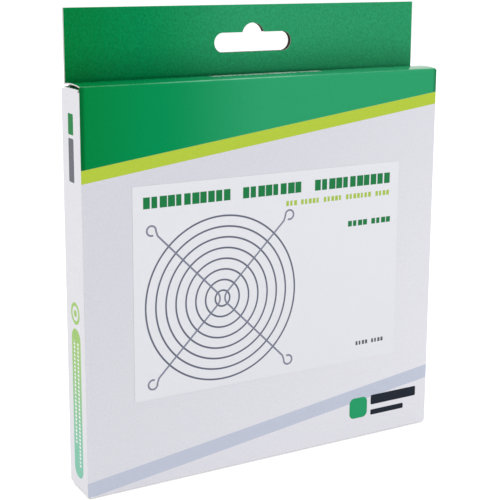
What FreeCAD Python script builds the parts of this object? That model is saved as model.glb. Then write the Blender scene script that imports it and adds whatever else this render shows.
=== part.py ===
"""Hanging retail carton with a wire fan guard inside.

The carton is one folded sheet of board: front, back and two side panels, a glued
bottom, two dust flaps at the top, and a header that doubles over and has a hanging
slot. Its tuck lid folds along the top of the front panel. A paper label lies on the
front. The fan guard is made of round rings welded to two bent wires.

The origin is the middle of the base, +X to the right of the front panel, +Y to the
back and +Z up. Lengths are in millimetres and angles in degrees.
"""
import FreeCAD, Part
import math
import os
import re

SIZES = {
    # board and folded sheet
    "board": 0.45,
    "fold": 0.9,
    "width": 148.0,
    "depth": 16.6,
    "height": 145.0,
    "seam_inset": 0.1,
    "glue_flap": 12.0,
    "glue_flap_end": 5.0,
    # bottom flaps
    "flap_inset": 1.0,
    "flap_gap": 0.6,
    "bottom_dust_length": 16.0,
    # top dust flaps
    "dust_drop": 0.7,
    "dust_length": 16.0,
    "dust_shoulder": 5.0,
    "dust_front_gap": 1.9,
    "dust_rear_gap": 0.3,
    "dust_tongue_gap": 0.5,
    "dust_front_taper": 1.5,
    "dust_rear_taper": 2.0,
    # header
    "header_height": 25.0,
    "header_inset": 1.3,
    "header_gap": 0.9,
    "shoulder_drop": 0.6,
    "header_lap": 5.0,
    "header_tab": 10.0,
    "tab_inset": 16.0,
    # hanging slot
    "slot_width": 32.2,
    "slot_height": 7.1,
    "slot_rise": 8.0,
    "bump_radius": 4.75,
    "bump_height": 3.4,
    # tuck lid
    "lid_inset": 0.5,
    "lid_gap": 0.3,
    "lid_crown": 8.0,
    "lid_opening": 120.0,
    "crease_play": 0.03,
    "tongue_turn": 50.0,
    "tongue_corner": 6.0,
    "slit_length": 6.5,
    "ear_turn": 0.9,
    # label
    "label_left": 18.5,
    "label_bottom": 32.6,
    "label_width": 112.2,
    "label_height": 77.4,
    "label_paper": 0.1,
    # fan guard
    "ring_wire": 1.5,
    "ring_first": 6.6,
    "ring_pitch": 7.14,
    "strut_wire": 1.8,
    "strut_bend": 5.8,
    "strut_apex": 1.9,
    "hole_pitch": 105.0,
    "eye_radius": 3.5,
    "eye_bend": 4.0,
    "eye_wrap": 290.0,
    "step_depth": 3.0,
    "step_radius": 2.5,
    "step_angle": 45.0,
    "step_margin": 1.2,
    "weld_gap": 0.02,
    "rest_gap": 0.1,
    "back_gap": 0.2,
}
RING_COUNT = 8
EXPRESSION_WORDS = ("sin", "cos", "rotation", "vector")

# Places that several pieces share, written in the sheet's words
HINGE_Y = "(-depth / 2 + fold)"
HINGE_Z = "(height - fold)"
HEADER_FACE = "(depth / 2 - 2 * board - header_gap)"
TONGUE_RADIUS = f"({HEADER_FACE} - lid_gap - {HINGE_Y})"
DUST_TOP = "(height - dust_drop)"
SIDE_FOOT = "(2 * board + fold)"
HEADER_FOOT = "(height - shoulder_drop)"
STRUT_BACK = "(depth / 2 - board - back_gap - strut_wire / 2)"
RING_Y = f"({STRUT_BACK} - step_depth - strut_wire / 2 - weld_gap - ring_wire / 2)"
RING_LAST = f"(ring_first + {RING_COUNT - 1} * ring_pitch)"
GUARD_Z = f"(2 * board + rest_gap + {RING_LAST} + ring_wire / 2)"

doc = FreeCAD.newDocument("carton")
sheet = doc.addObject("Spreadsheet::Sheet", "sizes")
for row, (name, value) in enumerate(SIZES.items(), start=1):
    sheet.set(f"A{row}", name)
    sheet.set(f"B{row}", str(value))
    sheet.setAlias(f"B{row}", name)
doc.recompute()


def in_sheet_words(words):
    """An expression whose bare names are cells of the sheet."""
    def cell(match):
        return match.group() if match.group() in EXPRESSION_WORDS else f"sizes.{match.group()}"
    return re.sub(r"[a-z][a-z_]*", cell, str(words))


def bind(item, **sizes):
    """Bind properties of an object to expressions; x, y, z and turn are its placement."""
    places = {"x": "Placement.Base.x", "y": "Placement.Base.y", "z": "Placement.Base.z",
              "turn": "Placement.Rotation"}
    for name, words in sizes.items():
        item.setExpression(places.get(name, name), in_sheet_words(words))
    return item


def plate(name, x, y, z, dx, dy, dz):
    """A flat panel from its lowest corner and its three sizes."""
    item = doc.addObject("Part::Box", name)
    return bind(item, x=x, y=y, z=z, Length=dx, Width=dy, Height=dz)


def rod(name, along, start, radius, turn, x, y, z, length):
    """A round bar, or a sector of one, along an axis from its lowest end at x, y, z.

    The sector starts at an angle that runs from +Y to +Z about X, from +X to +Z about Y,
    and from +X to +Y about Z.
    """
    turns = {
        "X": f"rotation(vector(1; 0; 0); 90 + ({start})) * rotation(vector(0; 1; 0); 90)",
        "Y": f"rotation(vector(0; 1; 0); 0 - ({start})) * rotation(vector(1; 0; 0); 90)",
        "Z": f"rotation(vector(0; 0; 1); {start})",
    }
    # The turn that lays a bar along Y leaves it pointing forward from its rear end
    y = f"{y} + {length}" if along == "Y" else y
    item = doc.addObject("Part::Cylinder", name)
    return bind(item, x=x, y=y, z=z, turn=turns[along],
                Radius=radius, Angle=turn, Height=length)


def bend(name, along, start, turn, x, y, z, length, radius="fold"):
    """Board bent round a fold: a sector of a tube one board thick."""
    outer = rod(f"{name}_outer", along, start, radius, turn, x, y, z, length)
    inner = rod(f"{name}_inner", along, start, f"{radius} - board", turn, x, y, z, length)
    return cut(name, outer, inner)


def cut(name, base, tool):
    """The base with the tool taken out of it."""
    item = doc.addObject("Part::Cut", name)
    item.Base = base
    item.Tool = tool
    return item


def fuse(name, *pieces, refine=True):
    """Several pieces of one sheet joined into one solid."""
    item = doc.addObject("Part::MultiFuse", name)
    item.Shapes = list(pieces)
    item.Refine = refine
    return item


def sleeve():
    """Front, back and side panels with their upright folds and the glued seam."""
    side_rise = f"({DUST_TOP} - fold - {SIDE_FOOT})"
    left, right = "-width / 2 + fold", "width / 2 - fold"
    front_fold, back_fold = "-depth / 2 + fold", "depth / 2 - fold"
    seam_fold = "depth / 2 - board - fold"
    upright = f"{DUST_TOP} - 2 * fold"
    return [
        plate("front_panel", left, "-depth / 2", "fold",
              "width - 2 * fold", "board", f"{HINGE_Z} - fold"),
        plate("side_left", "-width / 2", front_fold, SIDE_FOOT,
              "board", "depth - 2 * fold", side_rise),
        plate("side_right", "width / 2 - board", front_fold, SIDE_FOOT,
              "board", "depth - 2 * fold - board", side_rise),
        plate("back_panel", left, "depth / 2 - board", "board + fold",
              "width - fold - seam_inset", "board", f"{HEADER_FOOT} - board - fold"),
        plate("glue_flap", f"{right} - glue_flap", "depth / 2 - 2 * board",
              f"{SIDE_FOOT} + glue_flap_end", "glue_flap", "board",
              f"{side_rise} - 2 * glue_flap_end"),
        bend("fold_front_left", "Z", 180, 90, left, front_fold, "fold", upright),
        bend("fold_front_right", "Z", 270, 90, right, front_fold, "fold", upright),
        bend("fold_back_left", "Z", 90, 90, left, back_fold, SIDE_FOOT, side_rise),
        bend("fold_seam", "Z", 0, 90, right, seam_fold, SIDE_FOOT, side_rise),
    ]


def bottom():
    """Bottom flaps glued over each other: front flap outside, back flap, dust flaps."""
    across, reach = "-width / 2 + flap_inset", "width - 2 * flap_inset"
    front, span = "-depth / 2 + fold + flap_gap", "depth - 2 * fold - 2 * flap_gap"
    pieces = [
        bend("fold_bottom_front", "X", 180, 90, across, "-depth / 2 + fold", "fold", reach),
        plate("bottom_outer", across, "-depth / 2 + fold", 0,
              reach, "depth - fold - flap_gap", "board"),
        bend("fold_bottom_back", "X", 270, 90, across, "depth / 2 - fold", "board + fold", reach),
        plate("bottom_inner", across, front, "board",
              reach, "depth - 2 * fold - flap_gap", "board"),
    ]
    for side, start, fold_x, flap_x in (
            ("left", 180, "-width / 2 + fold", "-width / 2 + fold"),
            ("right", 270, "width / 2 - fold", "width / 2 - bottom_dust_length")):
        pieces.append(bend(f"fold_bottom_{side}", "Y", start, 90, fold_x, front,
                           SIDE_FOOT, span))
        pieces.append(plate(f"bottom_dust_{side}", flap_x, front, "2 * board",
                            "bottom_dust_length - fold", span, "board"))
    return pieces


def dust_flaps():
    """Top dust flaps: a full-depth shoulder, then narrower to clear the lid's tongue."""
    pieces = []
    front = "(-depth / 2 + dust_front_gap)"
    rear = f"({HEADER_FACE} - dust_rear_gap)"
    rear_narrow = f"({HINGE_Y} + {TONGUE_RADIUS} - board - dust_tongue_gap)"
    under = f"{DUST_TOP} - board"
    # Each flap's free length runs inward, so the two sides turn opposite ways
    for side, start, fold_x, shoulder_x, flap_x, turn, low, high, tapers in (
            ("left", 90, "-width / 2 + fold", "-width / 2 + fold",
             "-width / 2 + dust_shoulder", -90,
             f"0 - {rear_narrow}", f"0 - {front}", ("dust_rear_taper", "dust_front_taper")),
            ("right", 0, "width / 2 - fold", "width / 2 - dust_shoulder",
             "width / 2 - dust_shoulder", 90,
             front, rear_narrow, ("dust_front_taper", "dust_rear_taper"))):
        pieces.append(bend(f"fold_dust_{side}", "Y", start, 90, fold_x, front,
                           f"{DUST_TOP} - fold", f"({rear} - {front})"))
        pieces.append(plate(f"dust_shoulder_{side}", shoulder_x, front, under,
                            "dust_shoulder - fold", f"{rear} - {front}", "board"))
        flap = doc.addObject("Part::Wedge", f"dust_flap_{side}")
        bind(flap, x=flap_x, z=under, turn=f"rotation(vector(0; 0; 1); {turn})",
             Xmin=low, Xmax=high, X2min=f"{low} + {tapers[0]}", X2max=f"{high} - {tapers[1]}",
             Ymin=0, Ymax="dust_length - dust_shoulder",
             Zmin=0, Zmax="board", Z2min=0, Z2max="board")
        pieces.append(flap)
    return pieces


def header():
    """Header: the back panel carried up, doubled over forward and glued inside."""
    left, reach = "-width / 2 + header_inset", "width - 2 * header_inset"
    radius = "(board + header_gap / 2)"
    rise = f"header_height + shoulder_drop - {radius}"
    tab_left, tab_reach = "-width / 2 + tab_inset", "width - 2 * tab_inset"
    lap = doc.addObject("Part::Wedge", "header_lap")
    bind(lap, x=tab_left, y="depth / 2 - board", z=f"{HEADER_FOOT} - header_lap",
         turn="rotation(vector(1; 0; 0); 90)",
         Xmin=0, Xmax=tab_reach, X2min=0, X2max=tab_reach, Ymin=0, Ymax="header_lap",
         Zmin=0, Zmax="board", Z2min="header_gap", Z2max="header_gap + board")
    return [
        plate("header_rear", left, "depth / 2 - board", HEADER_FOOT, reach, "board", rise),
        plate("header_front", left, HEADER_FACE, HEADER_FOOT, reach, "board", rise),
        bend("fold_header", "X", 0, 180, left, f"depth / 2 - {radius}",
             f"height + header_height - {radius}", reach, radius),
        lap,
        plate("header_tab", tab_left, "depth / 2 - 2 * board",
              f"{HEADER_FOOT} - header_lap - header_tab", tab_reach, "board", "header_tab"),
    ]


def hanging_slot():
    """Hanging slot through both layers: a long round-ended hole with a bump on top."""
    front, through = f"({HEADER_FACE} - board)", "(4 * board + header_gap)"
    foot, end = "height + slot_rise", "slot_height / 2"
    bar = plate("slot_bar", f"-slot_width / 2 + {end}", front, foot,
                "slot_width - slot_height", through, "slot_height")
    ends = [rod(f"slot_end_{side}", "Y", 0, end, 360, f"{sign}slot_width / 2 {back} {end}",
                front, f"{foot} + {end}", through)
            for side, sign, back in (("left", "-", "+"), ("right", "", "-"))]
    bump = rod("slot_bump", "Y", 0, "bump_radius", 360, 0, front,
               f"{foot} + slot_height + bump_height - bump_radius", through)
    return fuse("slot_outline", bar, bump, *ends)


def crease_room():
    """Room for the lid's fold and for the lid's full swing at the top of the front panel."""
    left, reach = "-width / 2 + board", "width - 2 * board"
    seat = rod("lid_fold_seat", "X", 0, "fold + crease_play", 360,
               left, HINGE_Y, HINGE_Z, reach)
    swing = plate("lid_swing_room", left, HINGE_Y, HINGE_Z,
                  reach, "depth / 2", "fold + crease_play")
    bind(swing, turn="rotation(vector(1; 0; 0); lid_opening + lid_crown)")
    return fuse("crease_room", seat, swing)


def carton():
    """The whole folded sheet but for the lid."""
    folded = fuse("folded_sheet", *sleeve(), *bottom(), *dust_flaps(), *header())
    slotted = cut("slotted_sheet", folded, hanging_slot())
    body = cut("carton_body", slotted, crease_room())
    body.Label = "carton"
    return body


def lid():
    """Tuck lid: a crowned panel that folds on the front panel, with a curled tongue.

    The tongue curls about the fold, so that it slides out past the header as the lid
    opens. Slits free the tongue from the panel's rear corners.
    """
    left, reach = "-width / 2 + lid_inset", "width - 2 * lid_inset"
    crown = f"((({TONGUE_RADIUS} - fold) / 2 + fold * sin(lid_crown)) / sin(lid_crown))"
    crown_y = f"{HINGE_Y} + ({TONGUE_RADIUS} - fold) / 2"
    crown_z = f"{HINGE_Z} + (fold - {crown}) * cos(lid_crown)"
    slit_left, slit_reach = f"{left} + slit_length", f"{reach} - 2 * slit_length"
    pieces = [
        bend("lid_root", "X", "90 + lid_crown", "90 - lid_crown",
             left, HINGE_Y, HINGE_Z, reach),
        bend("lid_panel", "X", "90 - lid_crown", "2 * lid_crown",
             left, crown_y, crown_z, reach, crown),
        bend("lid_rear_fold", "X", 0, "90 - lid_crown", slit_left,
             f"{HINGE_Y} + {TONGUE_RADIUS} - fold", HINGE_Z, slit_reach),
        bend("lid_tongue", "X", "0 - tongue_turn", "tongue_turn", slit_left,
             HINGE_Y, HINGE_Z, slit_reach, TONGUE_RADIUS),
    ]
    for side, ear_x in (("left", left), ("right", "width / 2 - lid_inset - slit_length")):
        pieces.append(bend(f"lid_ear_{side}", "X", "90 - lid_crown - ear_turn", "ear_turn",
                           ear_x, crown_y, crown_z, "slit_length", crown))
    body = cut("lid_body", fuse("lid_sheet", *pieces), tongue_corners(slit_left, slit_reach))
    body.Label = "lid"
    return body


def tongue_corners(slit_left, slit_reach):
    """What is cut off the tongue's two free corners to round them."""
    drop = f"{HINGE_Z} - {TONGUE_RADIUS} * sin(tongue_turn)"
    centre_z = f"{drop} + tongue_corner"
    room = "depth"
    blocks, rounds = [], []
    for side, block_x, round_x in (
            ("left", f"{slit_left} - tongue_corner", f"{slit_left} + tongue_corner"),
            ("right", f"{slit_left} + {slit_reach} - tongue_corner",
             f"{slit_left} + {slit_reach} - tongue_corner")):
        blocks.append(plate(f"corner_block_{side}", block_x, HINGE_Y,
                            f"{centre_z} - 2 * tongue_corner",
                            "2 * tongue_corner", room, "2 * tongue_corner"))
        rounds.append(rod(f"corner_round_{side}", "Y", 0, "tongue_corner", 360,
                          round_x, HINGE_Y, centre_z, room))
    return cut("tongue_corners", fuse("corner_blocks", *blocks), fuse("corner_rounds", *rounds))


def label():
    """Paper label stuck on the front panel."""
    item = plate("label_sheet", "-width / 2 + label_left", "-depth / 2 - label_paper",
                 "label_bottom", "label_width", "label_paper", "label_height")
    item.Label = "label"
    return item


def guard_ring(index):
    """One ring of the fan guard, numbered from the innermost."""
    ring = doc.addObject("Part::Torus", f"ring_{index + 1}")
    bind(ring, y=RING_Y, z=GUARD_Z, turn="rotation(vector(1; 0; 0); 90)",
         Radius1=f"ring_first + {index} * ring_pitch", Radius2="ring_wire / 2")
    ring.Label = f"guard_ring_{index + 1}"
    return ring


def cell(name):
    """The number in the sheet's cell of this name."""
    return float(sheet.get(name))


def joined(points):
    """Edges through a list of points, where each middle one is a straight or an arc's way."""
    edges = []
    for start, way, end in points:
        if way is None:
            edges.append(Part.LineSegment(start, end).toShape())
        else:
            edges.append(Part.Arc(start, way, end).toShape())
    return edges


def strut_half(side, up):
    """Way of the strut's wire from its middle bend to one eyelet, as joined pieces.

    It runs straight past the rings, steps back to the eyelet's plane, then bends aside
    and goes round the screw's place.

    side: -1 for the left strut, 1 for the right one.
    up: 1 for the upper eyelet, -1 for the lower one.
    """
    out = FreeCAD.Vector(side, 0, up).normalize()
    aside = FreeCAD.Vector(out.z, 0, -out.x)
    back = FreeCAD.Vector(0, 1, 0)
    bend_radius, apex = cell("strut_bend"), cell("strut_apex")
    corner = FreeCAD.Vector(side * (apex - bend_radius * (math.sqrt(2) - 1)), 0, 0)
    first = corner + out * bend_radius

    # The step back, clear of the outermost ring
    ring_edge = cell("ring_first") + (RING_COUNT - 1) * cell("ring_pitch") + cell("ring_wire") / 2
    angle, radius = math.radians(cell("step_angle")), cell("step_radius")
    begin = corner + out * (ring_edge + cell("step_margin"))
    slope = out * math.cos(angle) + back * math.sin(angle)
    slant = (cell("step_depth") - 2 * radius * (1 - math.cos(angle))) / math.sin(angle)

    def arc_from(start, heading, inward, turn):
        """Middle and end of an arc that leaves along a heading and turns inward."""
        centre = start + inward * radius
        return [centre - inward * (radius * math.cos(part)) + heading * (radius * math.sin(part))
                for part in (turn / 2, turn)]

    way_one, end_one = arc_from(begin, out, back, angle)
    start_two = end_one + slope * slant
    inward = out * math.sin(angle) - back * math.cos(angle)
    way_two, end_two = arc_from(start_two, slope, inward, angle)

    # The bend aside and the loop round the hole
    half_pitch, loop, turn_in = cell("hole_pitch") / 2, cell("eye_radius"), cell("eye_bend")
    hole = FreeCAD.Vector(side * half_pitch, end_two.y, up * half_pitch)
    offset = (corner - hole).dot(aside)
    run = math.sqrt((turn_in + loop) ** 2 - (turn_in + offset) ** 2)
    bend_centre = hole - out * run + aside * (turn_in + offset)
    bend_start = bend_centre - aside * turn_in
    to_bend = (bend_centre - hole).normalize()
    bend_end = hole + to_bend * loop
    bend_way = bend_centre + ((bend_start - bend_centre) + (bend_end - bend_centre)
                              ).normalize() * turn_in
    across = back.cross(to_bend)
    sense = 1 if (bend_end - bend_way).dot(across) > 0 else -1

    def on_loop(turn):
        """Point of the loop this many degrees past its start."""
        angle_on = math.radians(turn)
        return hole + (to_bend * math.cos(angle_on)
                       + across * (sense * math.sin(angle_on))) * loop

    wrap = cell("eye_wrap")
    return [
        (first, None, begin), (begin, way_one, end_one), (end_one, None, start_two),
        (start_two, way_two, end_two), (end_two, None, bend_start),
        (bend_start, bend_way, bend_end), (bend_end, on_loop(wrap / 4), on_loop(wrap / 2)),
        (on_loop(wrap / 2), on_loop(3 * wrap / 4), on_loop(wrap)),
    ]


def guard_strut(name, side):
    """One bent wire of the fan guard: an eyelet at each end and a bend at its middle."""
    upper, lower = strut_half(side, 1), strut_half(side, -1)
    middle = FreeCAD.Vector(side * cell("strut_apex"), 0, 0)
    way = [(end, mid, start) for start, mid, end in reversed(upper)]
    way.append((upper[0][0], middle, lower[0][0]))
    way.extend(lower)
    path = Part.Wire(joined(way))
    start, _, _ = way[0]
    tangent = path.OrderedEdges[0].tangentAt(path.OrderedEdges[0].FirstParameter)
    profile = Part.Wire(Part.makeCircle(cell("strut_wire") / 2, start, tangent))
    item = doc.addObject("Part::Feature", name)
    item.Shape = path.makePipeShell([profile], True, False)
    item.Label = name
    bind(item, y=f"{STRUT_BACK} - step_depth", z=GUARD_Z)
    return item


os.makedirs("parts", exist_ok=True)
nodes = [carton(), lid(), label()]
nodes += [guard_ring(index) for index in range(RING_COUNT)]
nodes += [guard_strut("guard_strut_left", -1), guard_strut("guard_strut_right", 1)]
doc.recompute()

for item in doc.Objects:
    if "Invalid" in item.State or "Error" in item.State:
        raise RuntimeError(f"{item.Name} did not build: {item.State}")
for node in nodes:
    shape = node.Shape
    if shape.isNull() or not shape.isValid() or len(shape.Solids) != 1:
        raise RuntimeError(f"{node.Label} is not one sound solid")
    box = shape.BoundBox
    print(f"{node.Label}: {len(shape.Faces)} faces, {shape.Volume:.1f} mm3, "
          f"x {box.XMin:.2f} {box.XMax:.2f}, y {box.YMin:.2f} {box.YMax:.2f}, "
          f"z {box.ZMin:.2f} {box.ZMax:.2f}")
    shape.exportStep(f"parts/{node.Label}.step")
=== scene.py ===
"""Hanging retail carton with a wire fan guard inside, dressed for rendering.

Every piece is worked out in millimetres in the part's own frame: the origin is the middle
of the base, +X to the right along the front panel, +Y to the back and +Z up. Board is
modelled as a sheet with a printed face, a raw face and raw cut edges.
"""

import logging
import math
from dataclasses import dataclass
from enum import Enum
from typing import Callable, Sequence

import bpy
import numpy as np
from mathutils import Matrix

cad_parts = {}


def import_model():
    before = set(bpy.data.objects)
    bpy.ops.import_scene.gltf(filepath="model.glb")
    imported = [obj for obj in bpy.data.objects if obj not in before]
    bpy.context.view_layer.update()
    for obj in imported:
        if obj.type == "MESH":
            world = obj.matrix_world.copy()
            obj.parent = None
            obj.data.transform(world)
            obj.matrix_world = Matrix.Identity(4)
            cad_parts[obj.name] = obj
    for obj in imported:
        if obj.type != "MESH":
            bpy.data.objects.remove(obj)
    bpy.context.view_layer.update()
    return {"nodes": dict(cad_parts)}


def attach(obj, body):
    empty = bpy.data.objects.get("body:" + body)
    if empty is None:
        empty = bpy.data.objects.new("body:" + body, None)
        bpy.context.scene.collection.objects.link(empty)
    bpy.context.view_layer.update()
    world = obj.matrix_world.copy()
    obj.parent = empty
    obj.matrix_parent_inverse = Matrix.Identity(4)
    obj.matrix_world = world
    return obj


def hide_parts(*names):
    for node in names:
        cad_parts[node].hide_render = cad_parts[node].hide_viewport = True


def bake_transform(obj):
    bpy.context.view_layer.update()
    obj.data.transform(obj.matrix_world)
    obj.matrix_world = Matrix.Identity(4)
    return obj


LOG = logging.getLogger("carton")
MM = 0.001
IMAGE_SIDE_PX = 500
ROOT, LID_BODY = "root", "lid_body"
NEARLY = 1e-6

Grid = np.ndarray
Pair = tuple[float, float]
Material = bpy.types.Material
Node = bpy.types.Node
Socket = bpy.types.NodeSocket
Tree = bpy.types.NodeTree


class Face(Enum):
    """Which of a sheet's materials a face takes, as the place in the sheet's list.

    OTHER is one more finish that only some pieces have, such as the side panels' print on
    the sleeve, and BACK is the back panel's print.
    """

    PRINTED = 0
    RAW = 1
    CUT = 2
    OTHER = 3
    BACK = 4


class Axis(Enum):
    """The part's axes, as their place in a point."""

    X = 0
    Y = 1
    Z = 2


class Side(Enum):
    """The carton's two ends, as the sign of their X."""

    LEFT = -1
    RIGHT = 1


class Ink(Enum):
    """Colours of the print, as red, green and blue from 0 to 255."""

    GREEN_DEEP = (0, 131, 63)
    GREEN_LEAF = (0, 141, 81)
    GREEN_PAINTED_SHEEN = (43, 157, 105)
    LIME = (180, 202, 66)
    PALE = (224, 223, 231)
    PALE_SHADED = (213, 213, 221)
    PALE_LIT = (227, 226, 233)
    BLUE_GREY = (194, 200, 216)
    SIDE_PALE = (233, 232, 237)
    LABEL = (227, 228, 233)
    TITLE_GREEN = (0, 116, 58)
    TEXT_LIME = (164, 192, 72)
    TEXT_GREY = (84, 86, 94)
    WIRE_DARK = (94, 98, 117)
    WIRE_LIGHT = (142, 145, 166)
    BAR_TOP = (166, 206, 116)
    BAR_FOOT = (132, 202, 176)
    WORN_AND_HIGHLIGHT_GREEN = (158, 222, 190)
    WHITE = (246, 247, 248)
    SLATE = (104, 108, 116)
    SLATE_DARK = (36, 42, 52)

    @property
    def linear(self) -> tuple[float, float, float, float]:
        """This colour as linear light with an alpha of 1."""
        return (*(to_linear(part / 255) for part in self.value), 1.0)


def to_linear(value: float) -> float:
    """One colour channel from its written value to linear light.

    Args:
        value: the channel as written, from 0 to 1.

    Returns:
        The channel as linear light.
    """
    return value / 12.92 if value <= 0.04045 else ((value + 0.055) / 1.055) ** 2.4


# ---- meshes ------------------------------------------------------------------------------


@dataclass(frozen=True)
class Shell:
    """Points and quads of a sheet, with the material place of each quad."""

    points: Grid
    quads: Grid
    marks: Grid


def grid_quads(rows: int, columns: int, start: int, flip: bool, ring: bool) -> Grid:
    """Quads between neighbouring points of a grid.

    The quad at row i and column j joins points (i, j), (i+1, j), (i+1, j+1), (i, j+1).

    Args:
        rows: number of rows of points.
        columns: number of columns of points.
        start: index of the grid's first point.
        flip: True turns each quad over.
        ring: True also joins the last row to the first.

    Returns:
        An array of quads, four point indices each.
    """
    index = np.arange(rows * columns).reshape(rows, columns) + start
    after = np.roll(index, -1, axis=0) if ring else index[1:]
    before = index if ring else index[:-1]
    quads = np.stack([before[:, :-1], after[:, :-1], after[:, 1:], before[:, 1:]], axis=-1)
    quads = quads.reshape(-1, 4)
    return quads[:, ::-1] if flip else quads


def strip_quads(one: Grid, two: Grid, ring: bool) -> Grid:
    """Quads between two lines of points that run side by side.

    Args:
        one: point indices of the first line.
        two: point indices of the second line.
        ring: True closes the lines on themselves.

    Returns:
        An array of quads, four point indices each.
    """
    if ring:
        one, two = np.append(one, one[0]), np.append(two, two[0])
    return np.stack([one[:-1], one[1:], two[1:], two[:-1]], axis=-1)


def surface_normals(face: Grid, ring: bool) -> Grid:
    """Unit normals of a grid of points, from the cross product of its two directions.

    Args:
        face: points, rows by columns by 3.
        ring: True where the rows close on themselves.

    Returns:
        Normals, rows by columns by 3.
    """
    if ring:
        along = np.roll(face, -1, axis=0) - np.roll(face, 1, axis=0)
    else:
        along = np.gradient(face, axis=0)
    normal = np.cross(along, np.gradient(face, axis=1))
    return normal / np.linalg.norm(normal, axis=-1, keepdims=True)


def board(face: Grid, thick: float, ring: bool = False, back: Grid | None = None,
          marks: Grid | None = None, first: Face = Face.CUT,
          last: Face = Face.CUT) -> Shell:
    """A closed sheet from the grid of its printed face.

    The raw face lies one thickness behind the printed face, along its normal, and strips
    along the grid's free borders are the cut edges.

    Args:
        face: points of the printed face, whose normal is row direction cross column direction.
        thick: thickness of the sheet.
        ring: True where the rows close on themselves.
        back: points of the raw face, where they aren't one thickness behind.
        marks: material place of each row of printed quads, where it isn't always PRINTED.
        first: material of the cut edge along the first column.
        last: material of the cut edge along the last column.

    Returns:
        The sheet.
    """
    rows, columns = face.shape[:2]
    count = rows * columns
    if back is None:
        back = face - surface_normals(face, ring) * thick
    front_index = np.arange(count).reshape(rows, columns)
    back_index = front_index + count
    printed = grid_quads(rows, columns, 0, False, ring)
    raw = grid_quads(rows, columns, count, True, ring)
    edges = [(strip_quads(front_index[:, 0], back_index[:, 0], ring)[:, ::-1], first),
             (strip_quads(front_index[:, -1], back_index[:, -1], ring), last)]
    if not ring:
        edges += [(strip_quads(front_index[0], back_index[0], False), Face.CUT),
                  (strip_quads(front_index[-1], back_index[-1], False)[:, ::-1], Face.CUT)]
    if marks is None:
        marks = np.full(len(printed) // (columns - 1), Face.PRINTED.value)
    return Shell(
        np.concatenate([face.reshape(-1, 3), back.reshape(-1, 3)]),
        np.concatenate([printed, raw, *(quads for quads, _ in edges)]),
        np.concatenate([np.repeat(marks, columns - 1), np.full(len(raw), Face.RAW.value),
                        *(np.full(len(quads), edge.value) for quads, edge in edges)]))


def mesh_piece(name: str, shells: Sequence[Shell], materials: Sequence[Material],
               sharp_deg: float = 40.0) -> bpy.types.Object:
    """Join sheets into one mesh object, in metres, smooth but for its sharp edges.

    Args:
        name: the piece's name.
        shells: the sheets, in millimetres.
        materials: materials by place.
        sharp_deg: edges that turn more than this stay sharp.

    Returns:
        The new object.
    """
    starts = np.cumsum([0] + [len(shell.points) for shell in shells[:-1]])
    points = np.concatenate([shell.points for shell in shells]) * MM
    quads = np.concatenate([shell.quads + start for shell, start in zip(shells, starts)])
    marks = np.concatenate([shell.marks for shell in shells])
    mesh = bpy.data.meshes.new(name)
    mesh.from_pydata(points.tolist(), [], quads.tolist())
    for material in materials:
        mesh.materials.append(material)
    mesh.polygons.foreach_set("material_index", marks.astype(np.int32))
    mesh.polygons.foreach_set("use_smooth", np.ones(len(quads), dtype=bool))
    mesh.set_sharp_from_angle(angle=math.radians(sharp_deg))
    mesh.update()
    item = bpy.data.objects.new(name, mesh)
    bpy.context.scene.collection.objects.link(item)
    LOG.info("%s: %d points, %d faces", name, len(points), len(quads))
    return item


def arc(centre: Sequence[float], radius: float, start_deg: float, end_deg: float,
        steps: int) -> Grid:
    """Points on an arc: the centre plus the radius times the cosine and sine of the angle.

    Args:
        centre: the arc's centre.
        radius: its radius.
        start_deg: angle of the first point.
        end_deg: angle of the last point.
        steps: number of stretches.

    Returns:
        Points, steps + 1 by 2.
    """
    angle = np.radians(np.linspace(start_deg, end_deg, steps + 1))
    return np.stack([centre[0] + radius * np.cos(angle), centre[1] + radius * np.sin(angle)], -1)


def run(start: Sequence[float], end: Sequence[float], steps: int) -> Grid:
    """Evenly spaced points on a straight line, both ends included."""
    share = np.linspace(0, 1, steps + 1)[:, None]
    return np.asarray(start, float) * (1 - share) + np.asarray(end, float) * share


def path(*parts: Grid) -> Grid:
    """One line of points from several, each of which starts where the one before ended."""
    return np.concatenate([parts[0]] + [part[1:] for part in parts[1:]])


def carried(profile: Grid, low: float | Grid, high: float | Grid, columns: int | Grid,
            axis: Axis) -> Grid:
    """A profile carried along an axis: the same profile at places from low to high.

    Args:
        profile: points of the profile in the plane across the axis, in X, Y, Z order.
        low: place on the axis where the sheet begins, for all or for each point.
        high: place where it ends, for all or for each point.
        columns: number of even stretches along the axis, or each column's share of the way.
        axis: the axis.

    Returns:
        Points, profile points by columns by 3.
    """
    share = np.linspace(0, 1, columns + 1) if isinstance(columns, int) else columns
    low, high = (np.broadcast_to(end, len(profile))[:, None] for end in (low, high))
    place = low * (1 - share) + high * share
    parts = [np.repeat(profile[:, :1], len(share), axis=1),
             np.repeat(profile[:, 1:], len(share), axis=1)]
    parts.insert(axis.value, place)
    return np.stack(parts, axis=-1)


# ---- materials ---------------------------------------------------------------------------


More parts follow.
